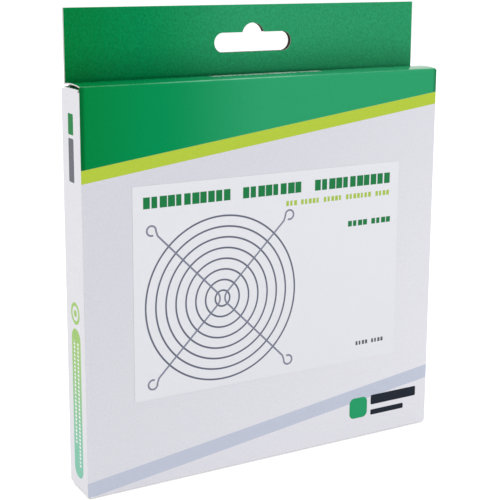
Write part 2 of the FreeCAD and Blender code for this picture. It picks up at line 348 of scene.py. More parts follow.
class Paint:
    """Shorthand for building a node tree."""

    def __init__(self, tree: Tree) -> None:
        """Keep the tree that the nodes go into."""
        self.tree = tree

    def node(self, kind: str, inputs: dict[str | int, object] | None = None,
             **settings: object) -> Node:
        """Add a node.

        Args:
            kind: the node's type name.
            inputs: values or sockets by input name or place.
            **settings: attributes of the node.

        Returns:
            The node.
        """
        item = self.tree.nodes.new(kind)
        for name, value in settings.items():
            setattr(item, name, value)
        for name, value in (inputs or {}).items():
            self.feed(item.inputs[name], value)
        return item

    def feed(self, socket: Socket, value: object) -> None:
        """Link a socket into an input, or set the input's own value.

        Args:
            socket: the input.
            value: a socket, or a number, vector or colour.
        """
        if isinstance(value, bpy.types.NodeSocket):
            self.tree.links.new(value, socket)
        else:
            socket.default_value = value[:3] if socket.type == "VECTOR" else value

    def math(self, operation: str, *values: object, clamp: bool = False) -> Socket:
        """One Math node's result."""
        return self.node("ShaderNodeMath", dict(enumerate(values)), operation=operation,
                         use_clamp=clamp).outputs[0]

    def vector(self, operation: str, *values: object, scale: object = None,
               length: bool = False) -> Socket:
        """One Vector Math node.

        Args:
            operation: what it does.
            *values: its vectors.
            scale: the number of a SCALE operation.
            length: True where the result is a number.

        Returns:
            Its vector, or its number.
        """
        item = self.node("ShaderNodeVectorMath", dict(enumerate(values)), operation=operation)
        if scale is not None:
            self.feed(item.inputs["Scale"], scale)
        return item.outputs["Value" if length else "Vector"]

    def part(self, vector: object, axis: Axis) -> Socket:
        """One part of a vector."""
        return self.node("ShaderNodeSeparateXYZ", {0: vector}).outputs[axis.name]

    def plane(self, across: object, up: object) -> Socket:
        """A vector of two numbers, with a Z of 0."""
        return self.node("ShaderNodeCombineXYZ", {0: across, 1: up}).outputs[0]

    def smooth(self, value: object, start: float, end: float, low: float = 0.0,
               high: float = 1.0) -> Socket:
        """Low at start and before it, high at end and past it, and a smooth step between."""
        return self.node("ShaderNodeMapRange", {
            "Value": value, "From Min": start, "From Max": end, "To Min": low, "To Max": high,
        }, interpolation_type="SMOOTHSTEP").outputs["Result"]

    def mix(self, share: object, one: object, two: object) -> Socket:
        """One colour laid over another.

        Args:
            share: how much of the second colour shows, from 0 to 1.
            one: the first colour.
            two: the second colour.

        Returns:
            The colour.
        """
        item = self.node("ShaderNodeMix", data_type="RGBA")
        for place, value in ((0, share), (6, one), (7, two)):
            self.feed(item.inputs[place], value)
        return item.outputs[2]

    def noise(self, point: object, scale: float, detail: float = 3.0,
              roughness: float = 0.5) -> Socket:
        """Noise from 0 to 1 at a point, with so many waves per metre."""
        return self.node("ShaderNodeTexNoise", {
            "Vector": point, "Scale": scale, "Detail": detail, "Roughness": roughness,
        }).outputs["Fac"]

    def bump(self, height: Socket, strength: object, distance: float,
             normal: Socket | None = None) -> Socket:
        """A normal tilted by a height.

        Args:
            height: the height, from 0 to 1.
            strength: how much of it shows.
            distance: what a height of 1 stands for, in metres.
            normal: the normal to tilt, where it isn't the surface's own.

        Returns:
            The normal.
        """
        inputs = {"Strength": strength, "Distance": distance, "Height": height}
        if normal is not None:
            inputs["Normal"] = normal
        return self.node("ShaderNodeBump", inputs).outputs[0]

    def group(self, tree: Tree, **inputs: object) -> Node:
        """Place a node group.

        Args:
            tree: the group.
            **inputs: its inputs by name in words joined by underscores.

        Returns:
            The node.
        """
        item = self.node("ShaderNodeGroup", node_tree=tree)
        for name, value in inputs.items():
            self.feed(item.inputs[name.replace("_", " ").capitalize()], value)
        return item


def new_group(name: str, inputs: dict[str, str], outputs: dict[str, str]
              ) -> tuple[Tree, Paint, dict[str, Socket], Node]:
    """Start a shader node group.

    Args:
        name: the group's name.
        inputs: kind of each input by name: Float, Vector or Color.
        outputs: kind of each output by name.

    Returns:
        The group, its paint, its input sockets by name and its output node.
    """
    tree = bpy.data.node_groups.new(name, "ShaderNodeTree")
    for names, way in ((inputs, "INPUT"), (outputs, "OUTPUT")):
        for label, kind in names.items():
            tree.interface.new_socket(label, in_out=way, socket_type=f"NodeSocket{kind}")
    paint = Paint(tree)
    given = paint.node("NodeGroupInput")
    result = paint.node("NodeGroupOutput")
    return tree, paint, {label: given.outputs[label] for label in inputs}, result


def new_material(name: str) -> tuple[Material, Paint, Node]:
    """Start a material.

    Args:
        name: the material's name.

    Returns:
        The material, its paint and its Principled shader.
    """
    material = bpy.data.materials.new(name)
    material.use_nodes = True
    material.node_tree.nodes.clear()
    paint = Paint(material.node_tree)
    shader = paint.node("ShaderNodeBsdfPrincipled")
    paint.node("ShaderNodeOutputMaterial", {"Surface": shader.outputs[0]})
    return material, paint, shader


class InkGroups:
    """Node groups for flat printed shapes and for the board's own surface.

    Each shape group takes a point in millimetres and gives a mask that is 1 inside the
    shape. Its edge is a smooth step about a tenth of a millimetre wide.
    """

    EDGE = 0.07
    FIBRE_TONE = (0.33, 0.31, 0.28, 1.0)
    FLECK_TONE = (0.24, 0.21, 0.18, 1.0)
    LEAST_BLOCK, BLOCK_SPREAD = 0.83, 0.33
    WHOLE_BAR = 0.001
    LEFT_STEP, RIGHT_STEP = (-76.0, -42.0), (-46.0, 0.0)

    def __init__(self) -> None:
        """Build each group once."""
        self.bar = self._bar()
        self.ring = self._ring()
        self.stroke = self._stroke()
        self.green = self._green()
        self.varnish = self._varnish()
        self.fibre = self._fibre()

    def _bar(self) -> Tree:
        """Rounded bar: the distance outside a box shrunk by the corner, less the corner.

        Letters is the pitch of the blocks that the bar is broken into and Fill is the share
        of each pitch that is inked, give or take a sixth by a random number for each block.
        A pitch of 0 leaves the bar whole.

        Returns:
            The group.
        """
        tree, paint, given, result = new_group(
            "printed_bar",
            {"Point": "Vector", "Centre": "Vector", "Half": "Vector", "Corner": "Float",
             "Letters": "Float", "Fill": "Float"}, {"Mask": "Float"})
        away = paint.vector("SUBTRACT", given["Point"], given["Centre"])
        inset = paint.vector("SUBTRACT", given["Half"],
                             paint.plane(given["Corner"], given["Corner"]))
        outside = paint.vector("MAXIMUM", paint.vector(
            "SUBTRACT", paint.vector("ABSOLUTE", away), inset), (0, 0, 0))
        distance = paint.math("SUBTRACT", paint.vector("LENGTH", outside, length=True),
                              given["Corner"])
        solid = paint.smooth(distance, self.EDGE, -self.EDGE)
        count = paint.math("DIVIDE", paint.part(paint.vector("ADD", away, given["Half"]),
                                                Axis.X), given["Letters"])
        chance = paint.node("ShaderNodeTexWhiteNoise", {"W": paint.math("FLOOR", count)},
                            noise_dimensions="1D").outputs["Value"]
        share = paint.math("MULTIPLY", given["Fill"], paint.math(
            "MULTIPLY_ADD", chance, self.BLOCK_SPREAD, self.LEAST_BLOCK))
        inked = paint.math("MULTIPLY", paint.math("SUBTRACT", share,
                                                  paint.math("FRACT", count)),
                           given["Letters"])
        whole = paint.math("LESS_THAN", given["Letters"], self.WHOLE_BAR)
        blocks = paint.math("MAXIMUM", paint.smooth(inked, -self.EDGE, self.EDGE), whole)
        paint.feed(result.inputs["Mask"], paint.math("MULTIPLY", solid, blocks))
        return tree

    def _ring(self) -> Tree:
        """Circle line: the distance of a point's radius from the circle's, less half a line.

        Returns:
            The group.
        """
        tree, paint, given, result = new_group(
            "printed_ring",
            {"Point": "Vector", "Centre": "Vector", "Radius": "Float", "Line": "Float"},
            {"Distance": "Float", "Mask": "Float"})
        radius = paint.vector("DISTANCE", given["Point"], given["Centre"], length=True)
        distance = paint.math("ABSOLUTE", paint.math("SUBTRACT", radius, given["Radius"]))
        paint.feed(result.inputs["Distance"], distance)
        edge = paint.math("SUBTRACT", distance, paint.math("MULTIPLY", given["Line"], 0.5))
        paint.feed(result.inputs["Mask"], paint.smooth(edge, self.EDGE, -self.EDGE))
        return tree

    @staticmethod
    def _stroke() -> Tree:
        """Straight stroke: the distance from the nearest point of a line between two ends.

        Returns:
            The group.
        """
        tree, paint, given, result = new_group(
            "printed_stroke",
            {"Point": "Vector", "Start": "Vector", "End": "Vector"}, {"Distance": "Float"})
        from_start = paint.vector("SUBTRACT", given["Point"], given["Start"])
        whole = paint.vector("SUBTRACT", given["End"], given["Start"])
        share = paint.math("DIVIDE", paint.vector("DOT_PRODUCT", from_start, whole, length=True),
                           paint.vector("DOT_PRODUCT", whole, whole, length=True), clamp=True)
        nearest = paint.vector("SCALE", whole, scale=share)
        paint.feed(result.inputs["Distance"],
                   paint.vector("DISTANCE", from_start, nearest, length=True))
        return tree

    def _green(self) -> Tree:
        """Green ink that lightens in two steps from left to right as painted sheen, times a
        shade.

        Returns:
            The group.
        """
        tree, paint, given, result = new_group(
            "green_ink", {"Point": "Vector", "Shade": "Float"}, {"Colour": "Color"})
        across = paint.part(given["Point"], Axis.X)
        # Painted sheen: the green lightens towards the right, as a lamp's reflection does
        left = paint.mix(paint.smooth(across, *self.LEFT_STEP), Ink.GREEN_DEEP.linear,
                         Ink.GREEN_LEAF.linear)
        ink = paint.mix(paint.smooth(across, *self.RIGHT_STEP), left, Ink.GREEN_PAINTED_SHEEN.linear)
        paint.feed(result.inputs["Colour"], paint.vector("SCALE", ink, scale=given["Shade"]))
        return tree

    @staticmethod
    def _varnish() -> Tree:
        """Gloss varnish: orange-peel grain, slow waves of the board and varied roughness.

        Returns:
            The group.
        """
        tree, paint, given, result = new_group(
            "varnish", {"Peel": "Float", "Gloss": "Float"},
            {"Normal": "Vector", "Roughness": "Float", "Grain": "Float"})
        place = paint.node("ShaderNodeTexCoord").outputs["Object"]
        grain = paint.noise(place, 1200.0, 3.0, 0.55)
        fine = paint.noise(place, 3200.0, 1.0)
        height = paint.math("ADD", paint.math("MULTIPLY", grain, 0.8),
                            paint.math("MULTIPLY", fine, 0.2))
        slow = paint.bump(paint.noise(place, 32.0, 1.0), 1.0, 0.00012)
        paint.feed(result.inputs["Normal"], paint.bump(height, given["Peel"], 0.00008, slow))
        paint.feed(result.inputs["Grain"], paint.smooth(height, 0.32, 0.68))
        smudge = paint.smooth(paint.noise(place, 60.0, 4.0, 0.6), 0.35, 0.75, 0.0, 0.07)
        paint.feed(result.inputs["Roughness"], paint.math("ADD", given["Gloss"], smudge))
        return tree

    def _fibre(self) -> Tree:
        """Raw board: a tone with short fibres and flecks, and a soft matt surface.

        Returns:
            The group.
        """
        tree, paint, given, result = new_group(
            "board_fibre", {"Tone": "Color"}, {"Colour": "Color", "Normal": "Vector"})
        place = paint.node("ShaderNodeTexCoord").outputs["Object"]
        drawn_out = paint.vector("MULTIPLY", place, (1.0, 1.0, 0.35))
        fibre = paint.noise(drawn_out, 2600.0, 4.0, 0.7)
        fleck = paint.smooth(paint.noise(place, 900.0, 2.0), 0.66, 0.74, 0.0, 0.35)
        tone = paint.mix(paint.smooth(fibre, 0.3, 0.7, 0.0, 0.25), given["Tone"],
                         self.FIBRE_TONE)
        paint.feed(result.inputs["Colour"], paint.mix(fleck, tone, self.FLECK_TONE))
        paint.feed(result.inputs["Normal"], paint.bump(fibre, 0.5, 0.00004))
        return tree


class Artwork:
    """Draws generic printed shapes into a material, in millimetres on one panel."""

    def __init__(self, paint: Paint, groups: InkGroups, across: Axis, up: Axis) -> None:
        """Set up the panel's plane.

        Args:
            paint: the material's paint.
            groups: the shared node groups.
            across: axis that runs across the panel.
            up: axis that runs up the panel.
        """
        self.paint, self.groups = paint, groups
        self.place = paint.vector("SCALE", paint.node("ShaderNodeTexCoord").outputs["Object"],
                                  scale=1 / MM)
        self.across, self.up = paint.part(self.place, across), paint.part(self.place, up)
        self.point = paint.plane(self.across, self.up)
        self.turned = paint.plane(self.up, self.across)
        self.colour: object = Ink.PALE.linear

    def base(self, ink: Ink) -> None:
        """Cover the whole panel."""
        self.colour = ink.linear

    def lay(self, mask: object, ink: object) -> None:
        """Lay an ink or a colour over what is there, where the mask is 1."""
        self.colour = self.paint.mix(mask, self.colour,
                                     ink.linear if isinstance(ink, Ink) else ink)

    def green(self, shade: object = 1.0) -> Socket:
        """The green ink's colour, times a shade."""
        return self.paint.group(self.groups.green, point=self.place,
                                shade=shade).outputs["Colour"]

    def bar(self, centre: Pair, size: Pair, ink: object, corner: float = 0.2,
            letters: float = 0.0, fill: float = 1.0, upright: bool = False) -> None:
        """Lay a bar, whole or broken into blocks like a line of print.

        Args:
            centre: its middle, along the print and then across it.
            size: its length along the print and its height across it.
            ink: an ink or a colour.
            corner: radius of its corners.
            letters: pitch of its blocks, or 0.
            fill: inked share of each pitch.
            upright: True for print that runs up the panel.
        """
        mask = self.paint.group(
            self.groups.bar, point=self.turned if upright else self.point,
            centre=(*centre, 0), half=(size[0] / 2, size[1] / 2, 0), corner=corner,
            letters=letters, fill=fill)
        self.lay(mask.outputs["Mask"], ink)

    def ring(self, centre: Pair, radius: float, line: float, ink: Ink) -> None:
        """Lay a circle line."""
        mask = self.paint.group(self.groups.ring, point=self.point, centre=(*centre, 0),
                                radius=radius, line=line)
        self.lay(mask.outputs["Mask"], ink)

    def above(self, left_z: float, right_z: float, half_width: float) -> Socket:
        """Height above a straight edge that runs from one side of the panel to the other.

        Args:
            left_z: the edge's height at the panel's left side.
            right_z: its height at the right side.
            half_width: half the panel's width.

        Returns:
            The height, in millimetres.
        """
        slope = (right_z - left_z) / (2 * half_width)
        line = self.paint.math("MULTIPLY_ADD", self.across, slope, (left_z + right_z) / 2)
        return self.paint.math("SUBTRACT", self.up, line)

    def field(self, height: Socket, ink: object) -> None:
        """Lay a field where a height is over 0."""
        self.lay(self.paint.smooth(height, -InkGroups.EDGE, InkGroups.EDGE), ink)

    def stripe(self, height: Socket, width: float, ink: Ink) -> None:
        """Lay a stripe just below a height of 0.

        Args:
            height: height above the stripe's top edge.
            width: the stripe's width.
            ink: its ink.
        """
        edge = InkGroups.EDGE
        self.lay(self.paint.math("MULTIPLY",
                                 self.paint.smooth(height, -width - edge, -width + edge),
                                 self.paint.smooth(height, edge, -edge)), ink)


@dataclass(frozen=True)
class PrintLine:
    """A line of print: words of plain blocks, each with its left end and count of blocks."""

    words: tuple[tuple[float, int], ...]
    up: float
    pitch: float
    height: float
    fill: float
    ink: Ink
    corner: float = 0.1

    def lay(self, art: Artwork) -> None:
        """Lay each word as one bar broken into its blocks.

        Args:
            art: the panel.
        """
        for left, count in self.words:
            length = count * self.pitch
            art.bar((left + length / 2, self.up), (length, self.height), self.ink,
                    self.corner, self.pitch, self.fill)


@dataclass(frozen=True)
class VarnishedPrint:
    """Gloss-varnished print on carton board."""

    name: str
    gloss: float = 0.22
    peel: float = 0.6
    specular: float = 0.03
    peel_painted_shade: float = 0.025

    def make(self, groups: InkGroups, draw: Callable[[Artwork], None],
             across: Axis = Axis.X, up: Axis = Axis.Z) -> Material:
        """Build the material.

        Args:
            groups: the shared node groups.
            draw: lays the panel's print.
            across: axis across the panel.
            up: axis up the panel.

        Returns:
            The material.
        """
        material, paint, shader = new_material(self.name)
        art = Artwork(paint, groups, across, up)
        draw(art)
        varnish = paint.group(groups.varnish, peel=self.peel, gloss=self.gloss)
        # Painted shading and glints of the orange-peel grain: the ink darkens and lightens with
        # the grain's height
        tone = paint.math("MULTIPLY_ADD", varnish.outputs["Grain"], 2 * self.peel_painted_shade,
                          1 - self.peel_painted_shade)
        paint.feed(shader.inputs["Base Color"], paint.vector("SCALE", art.colour, scale=tone))
        paint.feed(shader.inputs["Roughness"], varnish.outputs["Roughness"])
        paint.feed(shader.inputs["Normal"], varnish.outputs["Normal"])
        shader.inputs["Specular IOR Level"].default_value = self.specular
        return material


@dataclass(frozen=True)
class RawBoard:
    """Uncoated board: the inside of the carton, or a cut edge."""

    name: str
    tone: tuple[float, float, float]
    roughness: float = 0.85
    specular: float = 0.2

    def make(self, groups: InkGroups) -> Material:
        """Build the material.

        Args:
            groups: the shared node groups.

        Returns:
            The material.
        """
        material, paint, shader = new_material(self.name)
        fibre = paint.group(groups.fibre, tone=(*self.tone, 1.0))
        paint.feed(shader.inputs["Base Color"], fibre.outputs["Colour"])
        paint.feed(shader.inputs["Normal"], fibre.outputs["Normal"])
        shader.inputs["Roughness"].default_value = self.roughness
        shader.inputs["Specular IOR Level"].default_value = self.specular
        return material


@dataclass(frozen=True)
class PlatedWire:
    """Bright chrome plate on drawn steel wire, a little uneven along its length."""

    name: str = "plated_wire"
    roughness: float = 0.14
    haze: float = 0.16
    bright: tuple[float, float, float] = (0.62, 0.63, 0.66)
    dull: tuple[float, float, float] = (0.5, 0.51, 0.55)

    def make(self) -> Material:
        """Build the material.

        Returns:
            The material.
        """
        material, paint, shader = new_material(self.name)
        place = paint.node("ShaderNodeTexCoord").outputs["Object"]
        cloud = paint.noise(place, 240.0, 4.0, 0.6)
        paint.feed(shader.inputs["Base Color"], paint.mix(
            paint.smooth(cloud, 0.3, 0.7), (*self.bright, 1.0), (*self.dull, 1.0)))
        paint.feed(shader.inputs["Roughness"], paint.smooth(
            cloud, 0.3, 0.8, self.roughness, self.roughness + self.haze))
        paint.feed(shader.inputs["Normal"], paint.bump(paint.noise(place, 5200.0, 2.0), 0.25,
                                                       0.00002))
        shader.inputs["Metallic"].default_value = 1.0
        return material


@dataclass(frozen=True)
class DrawnGuard:
    """Line drawing of the wire guard on the label, in millimetres.

    The drawing is the same left and right and up and down, so it is worked out for one
    quarter, on the distance of a point from the two middle lines. Rings are circle lines at
    an even pitch; each strut is an arc at the hub, a straight leg, a bend and an open loop.
    A part that ends early, such as the hub's arc, is moved far off past its end.
    """

    centre: Pair = (-20.5, 66.0)
    line: float = 0.66
    shine: float = 0.45
    first: float = 2.95
    pitch: float = 3.93
    count: int = 8
    bend: float = 3.13
    apex: float = 1.02
    hole: float = 27.95
    loop: float = 1.75
    leg_end: Pair = (25.6, 25.95)
    neck_drop: float = 0.2
    gap_deg: float = 219.0
    gap_half_deg: float = 28.0
    hub_fade: float = 0.2
    gap_fade: float = 0.03
    far: float = 9.0

    def draw(self, art: Artwork) -> None:
        """Lay the drawing on a panel.

        Args:
            art: the panel.
        """
        paint = art.paint
        away = paint.vector("SUBTRACT", art.point, (*self.centre, 0))
        rings = self._rings(paint, paint.vector("LENGTH", away, length=True))
        struts = self._struts(paint, art.groups, paint.vector("ABSOLUTE", away))
        edge = InkGroups.EDGE
        for wire, ink in ((rings, Ink.WIRE_DARK), (struts, Ink.WIRE_LIGHT)):
            shade = paint.mix(paint.smooth(wire, 0.0, self.line * self.shine), ink.linear,
                              Ink.WIRE_DARK.linear)
            art.lay(paint.smooth(wire, self.line / 2 + edge, self.line / 2 - edge), shade)

    def _rings(self, paint: Paint, radius: Socket) -> Socket:
        """Distance from the nearest ring: from the rounded count of pitches out to a point.

        Args:
            paint: the material's paint.
            radius: a point's distance from the centre.

        Returns:
            The distance.
        """
        index = paint.math("DIVIDE", paint.math("SUBTRACT", radius, self.first), self.pitch)
        nearest = paint.math("MINIMUM", paint.math("MAXIMUM", paint.math("ROUND", index), 0.0),
                             float(self.count - 1))
        return paint.math("MULTIPLY", paint.math("ABSOLUTE", paint.math(
            "SUBTRACT", index, nearest)), self.pitch)

    def _struts(self, paint: Paint, groups: InkGroups, quarter: Socket) -> Socket:
        """Distance from the strut in one quarter: the least of those from its four parts.

        Args:
            paint: the material's paint.
            groups: the shared node groups.
            quarter: a point's distances from the two middle lines.

        Returns:
            The distance.
        """
        half = math.sqrt(0.5)
        start = (self.apex + self.bend * (1 - half), self.bend * half)
        hub = paint.group(groups.ring, point=quarter, centre=(self.apex + self.bend, 0, 0),
                          radius=self.bend, line=self.line).outputs["Distance"]
        hub = paint.math("ADD", hub, paint.smooth(paint.part(quarter, Axis.X), start[0],
                                                  start[0] + self.hub_fade, 0.0, self.far))
        leg = paint.group(groups.stroke, point=quarter, start=(*start, 0),
                          end=(*self.leg_end, 0)).outputs["Distance"]
        neck = paint.group(groups.stroke, point=quarter, start=(*self.leg_end, 0),
                           end=(self.hole - self.loop, self.hole - self.neck_drop, 0)
                           ).outputs["Distance"]
        eye = paint.group(groups.ring, point=quarter, centre=(self.hole, self.hole, 0),
                          radius=self.loop, line=self.line).outputs["Distance"]
        way = paint.vector("NORMALIZE", paint.vector("SUBTRACT", quarter,
                                                     (self.hole, self.hole, 0)))
        turn = math.radians(self.gap_deg)
        facing = paint.vector("DOT_PRODUCT", way, (math.cos(turn), math.sin(turn), 0),
                              length=True)
        limit = math.cos(math.radians(self.gap_half_deg))
        eye = paint.math("ADD", eye, paint.smooth(facing, limit, limit + self.gap_fade, 0.0,
                                                  self.far))
        return paint.math("MINIMUM", paint.math("MINIMUM", hub, leg),
                          paint.math("MINIMUM", neck, eye))


@dataclass(frozen=True)
class Print:
    """The carton's printed panels: generic fields, stripes, bars and lines of blocks.

    Sizes and places are in millimetres. A pair named a band, ends or reach holds the two
    places between which one tone turns into the next.
    """

    half_width: float = 74.0
    field_left_z: float = 117.0
    field_right_z: float = 136.0
    lime_width: float = 4.6
    header_foot: float = 144.4
    foot_left_z: float = 6.0
    foot_right_z: float = 25.0
    foot_width: float = 5.5
    lid_painted_light: float = 1.2
    tongue_ends: Pair = (144.6, 144.4)
    fold_painted_shade: float = 0.62
    fold_shade_band: Pair = (2.3, 1.0)
    pale_light_slant: float = -1.3
    pale_light_ends: Pair = (-215.0, 35.0)
    worn_and_highlight_ends: Pair = (144.55, 144.97)
    worn_and_highlight_middle: float = -12.0
    worn_and_highlight_reach: Pair = (44.0, 12.0)
    header_shade_band: Pair = (-1.0, 14.0)
    header_painted_shades: Pair = (0.66, 0.9)
    side_middle: float = -0.6
    guard: DrawnGuard = DrawnGuard()
    lid_line: PrintLine = PrintLine(((-20.8, 6), (-8.2, 11), (15.4, 5)), 0.3, 2.05, 5.2, 0.72,
                                    Ink.WHITE)
    label_lines: tuple[PrintLine, ...] = (
        PrintLine(((-51.5, 11), (-12.2, 8), (18.4, 11)), 103.9, 3.15, 4.1, 0.8,
                  Ink.TITLE_GREEN),
        PrintLine(((6.0, 3), (12.4, 5), (22.4, 5), (32.4, 7), (46.0, 4)), 98.2, 1.7, 1.9, 0.66,
                  Ink.TEXT_LIME),
        PrintLine(((33.6, 4), (44.4, 4)), 87.6, 2.3, 2.2, 0.76, Ink.TITLE_GREEN),
        PrintLine(((38.4, 4), (45.8, 4)), 39.4, 1.5, 1.6, 0.62, Ink.TEXT_GREY),
    )
    back_title: PrintLine = PrintLine(((-5.0, 15),), 104.0, 3.4, 3.2, 0.8, Ink.TITLE_GREEN)
    back_blocks: tuple[int, ...] = (35, 29, 23, 35, 29, 23)

    def green_with_fold_shade(self, art: Artwork) -> Socket:
        """The green ink, darker beside the front's upright folds as painted shade of the folds.

        Args:
            art: the panel.

        Returns:
            The colour.
        """
        beside = art.paint.math("ABSOLUTE", art.across)
        # Painted shade: the green darkens towards each upright fold
        start, end = (self.half_width - away for away in self.fold_shade_band)
        return art.green(art.paint.smooth(beside, start, end, 1.0, self.fold_painted_shade))

    def front(self, art: Artwork) -> None:
        """Front panel: green field, lime stripe, pale panel and a slanted foot stripe.

        Args:
            art: the panel.
        """
        paint = art.paint
        # Painted light: the pale ink lightens along a slant across the panel
        slant = paint.math("MULTIPLY_ADD", art.up, self.pale_light_slant, art.across)
        art.colour = paint.mix(paint.smooth(slant, *self.pale_light_ends), Ink.PALE_SHADED.linear,
                               Ink.PALE_LIT.linear)
        foot = art.above(self.foot_left_z, self.foot_right_z, self.half_width)
        art.stripe(foot, self.foot_width, Ink.BLUE_GREY)
        edge = art.above(self.field_left_z, self.field_right_z, self.half_width)
        art.stripe(edge, self.lime_width, Ink.LIME)
        art.field(edge, self.green_with_fold_shade(art))
        art.bar((40.5, 12.4), (8.4, 8.4), art.green(), corner=2.2)
        art.bar((57.4, 14.6), (22.0, 4.0), Ink.SLATE_DARK, corner=0.6)
        art.bar((54.4, 9.4), (16.0, 2.2), Ink.SLATE_DARK, corner=0.5)

    def side(self, art: Artwork) -> None:
        """Side panel: upright bars, a ring and a rounded bar that shades down its length.

        Args:
            art: the panel.
        """
        art.base(Ink.SIDE_PALE)
        art.bar((-0.3, 119.5), (4.6, 15.0), Ink.SLATE, corner=0.5)
        art.bar((-0.3, 131.8), (4.6, 7.2), art.green(), corner=0.5)
        art.ring((self.side_middle, 66.0), 3.3, 1.3, Ink.BAR_TOP)
        art.bar((self.side_middle, 66.0), (2.6, 2.6), Ink.BAR_TOP, corner=1.3)
        shade = art.paint.mix(art.paint.smooth(art.up, 10.0, 60.0), Ink.BAR_FOOT.linear,
                              Ink.BAR_TOP.linear)
        art.bar((-0.8, 33.0), (8.0, 55.0), shade, corner=3.8)
        for y, low, high in ((-2.3, 10.0, 56.0), (0.9, 18.0, 56.0)):
            art.bar(((low + high) / 2, y), (high - low, 1.3), Ink.WHITE, corner=0.1,
                    letters=1.4, fill=0.6, upright=True)

    def back(self, art: Artwork) -> None:
        """Back panel: green field at the top, lime stripe and plain lines of print.

        Args:
            art: the panel.
        """
        art.base(Ink.PALE)
        edge = art.above(self.field_right_z, self.field_left_z, self.half_width)
        art.stripe(edge, self.lime_width, Ink.LIME)
        art.field(edge, art.green())
        right, top, row, pitch = 46.0, 96.0, 5.2, 2.1
        for step, count in enumerate(self.back_blocks):
            PrintLine(((right - pitch * count, count),), top - row * step, pitch, 1.5, 0.7,
                      Ink.TEXT_GREY).lay(art)
        self.back_title.lay(art)
        art.bar((0.0, 12.0), (128.0, 3.0), Ink.BLUE_GREY, corner=1.5)

    def header(self, art: Artwork) -> None:
        """Header: green all over, darker towards its foot as painted shade of the gap above the
        lid.
        """
        # Painted shade: the green darkens towards the header's foot
        start, end = (self.header_foot + place for place in self.header_shade_band)
        art.colour = art.green(art.paint.smooth(art.up, start, end, *self.header_painted_shades))

    def crease(self, art: Artwork) -> None:
        """Front crease: green, paler along its top, most of all left of the middle: partly wear
        and partly a painted highlight.

        Args:
            art: the panel.
        """
        paint = art.paint
        near = paint.smooth(art.up, *self.worn_and_highlight_ends)
        aside = paint.math("ABSOLUTE", paint.math("SUBTRACT", art.across, self.worn_and_highlight_middle))
        middle = paint.smooth(aside, *self.worn_and_highlight_reach, 0.3, 1.0)
        # Painted highlight, with some wear, as a pale green band along the crease's top
        rubbed_and_highlight = paint.smooth(paint.noise(art.place, 0.12, 3.0, 0.6), 0.3, 0.7, 0.35, 0.75)
        art.colour = self.green_with_fold_shade(art)
        art.lay(paint.math("MULTIPLY", paint.math("MULTIPLY", near, middle), rubbed_and_highlight),
                Ink.WORN_AND_HIGHLIGHT_GREEN)

    def lid(self, art: Artwork) -> None:
        """Lid: green all over, with one line of print along its panel but not its tongue.

        Args:
            art: the panel.
        """
        # Painted light: the lid's green is lightened by a fifth for the light that falls on its
        # upward face
        art.colour = art.green(self.lid_painted_light)
        self.lid_line.lay(art)
        height = art.paint.part(art.place, Axis.Z)
        art.lay(art.paint.smooth(height, *self.tongue_ends), art.green(self.lid_painted_light))

    def label(self, art: Artwork) -> None:
        """Label: plain lines of print and a line drawing of a round wire guard.

        Args:
            art: the panel.
        """
        art.base(Ink.LABEL)
        for line in self.label_lines:
            line.lay(art)
        self.guard.draw(art)


class Finishes:
    """All the materials of the object."""

    def __init__(self) -> None:
        """Build each material once."""
        groups, art = InkGroups(), Print()
        self.front = VarnishedPrint("front_print").make(groups, art.front)
        self.side = VarnishedPrint("side_print").make(groups, art.side, Axis.Y)
        self.back = VarnishedPrint("back_print").make(groups, art.back)
        self.header = VarnishedPrint("header_print", peel=2.3, peel_painted_shade=0.12).make(
            groups, art.header)
        self.crease = VarnishedPrint("crease_print").make(groups, art.crease)
        self.lid = VarnishedPrint("lid_print", specular=0.5, gloss=0.08, peel=0.25).make(
            groups, art.lid, up=Axis.Y)
        self.pale = VarnishedPrint("plain_print").make(
            groups, lambda panel: panel.base(Ink.SIDE_PALE))
        self.raw = RawBoard("raw_board", (0.36, 0.34, 0.31)).make(groups)
        # Dark cut edge round the header's slot: painted shade on board whose other cut edges are
        # white
        self.cut = RawBoard("cut_board_edge", (0.3, 0.26, 0.22)).make(groups)
        # Near-black board between the header's layers: painted shade of the slot's inside
        self.glued = RawBoard("glued_inside", (0.035, 0.03, 0.026)).make(groups)
        self.cut_white = RawBoard("cut_coated_edge", (0.8, 0.79, 0.77)).make(groups)
        self.label = VarnishedPrint("label_print", gloss=0.42, peel=0.12, specular=0.2,
                                    peel_painted_shade=0.006).make(groups, art.label)
        # Mid-grey label edge: partly the paper's grey cut edge, partly painted shade along the
        # label's rim
        self.paper = RawBoard("label_paper_edge", (0.5, 0.5, 0.52)).make(groups)
        self.wire = PlatedWire().make()


# ---- the carton --------------------------------------------------------------------------


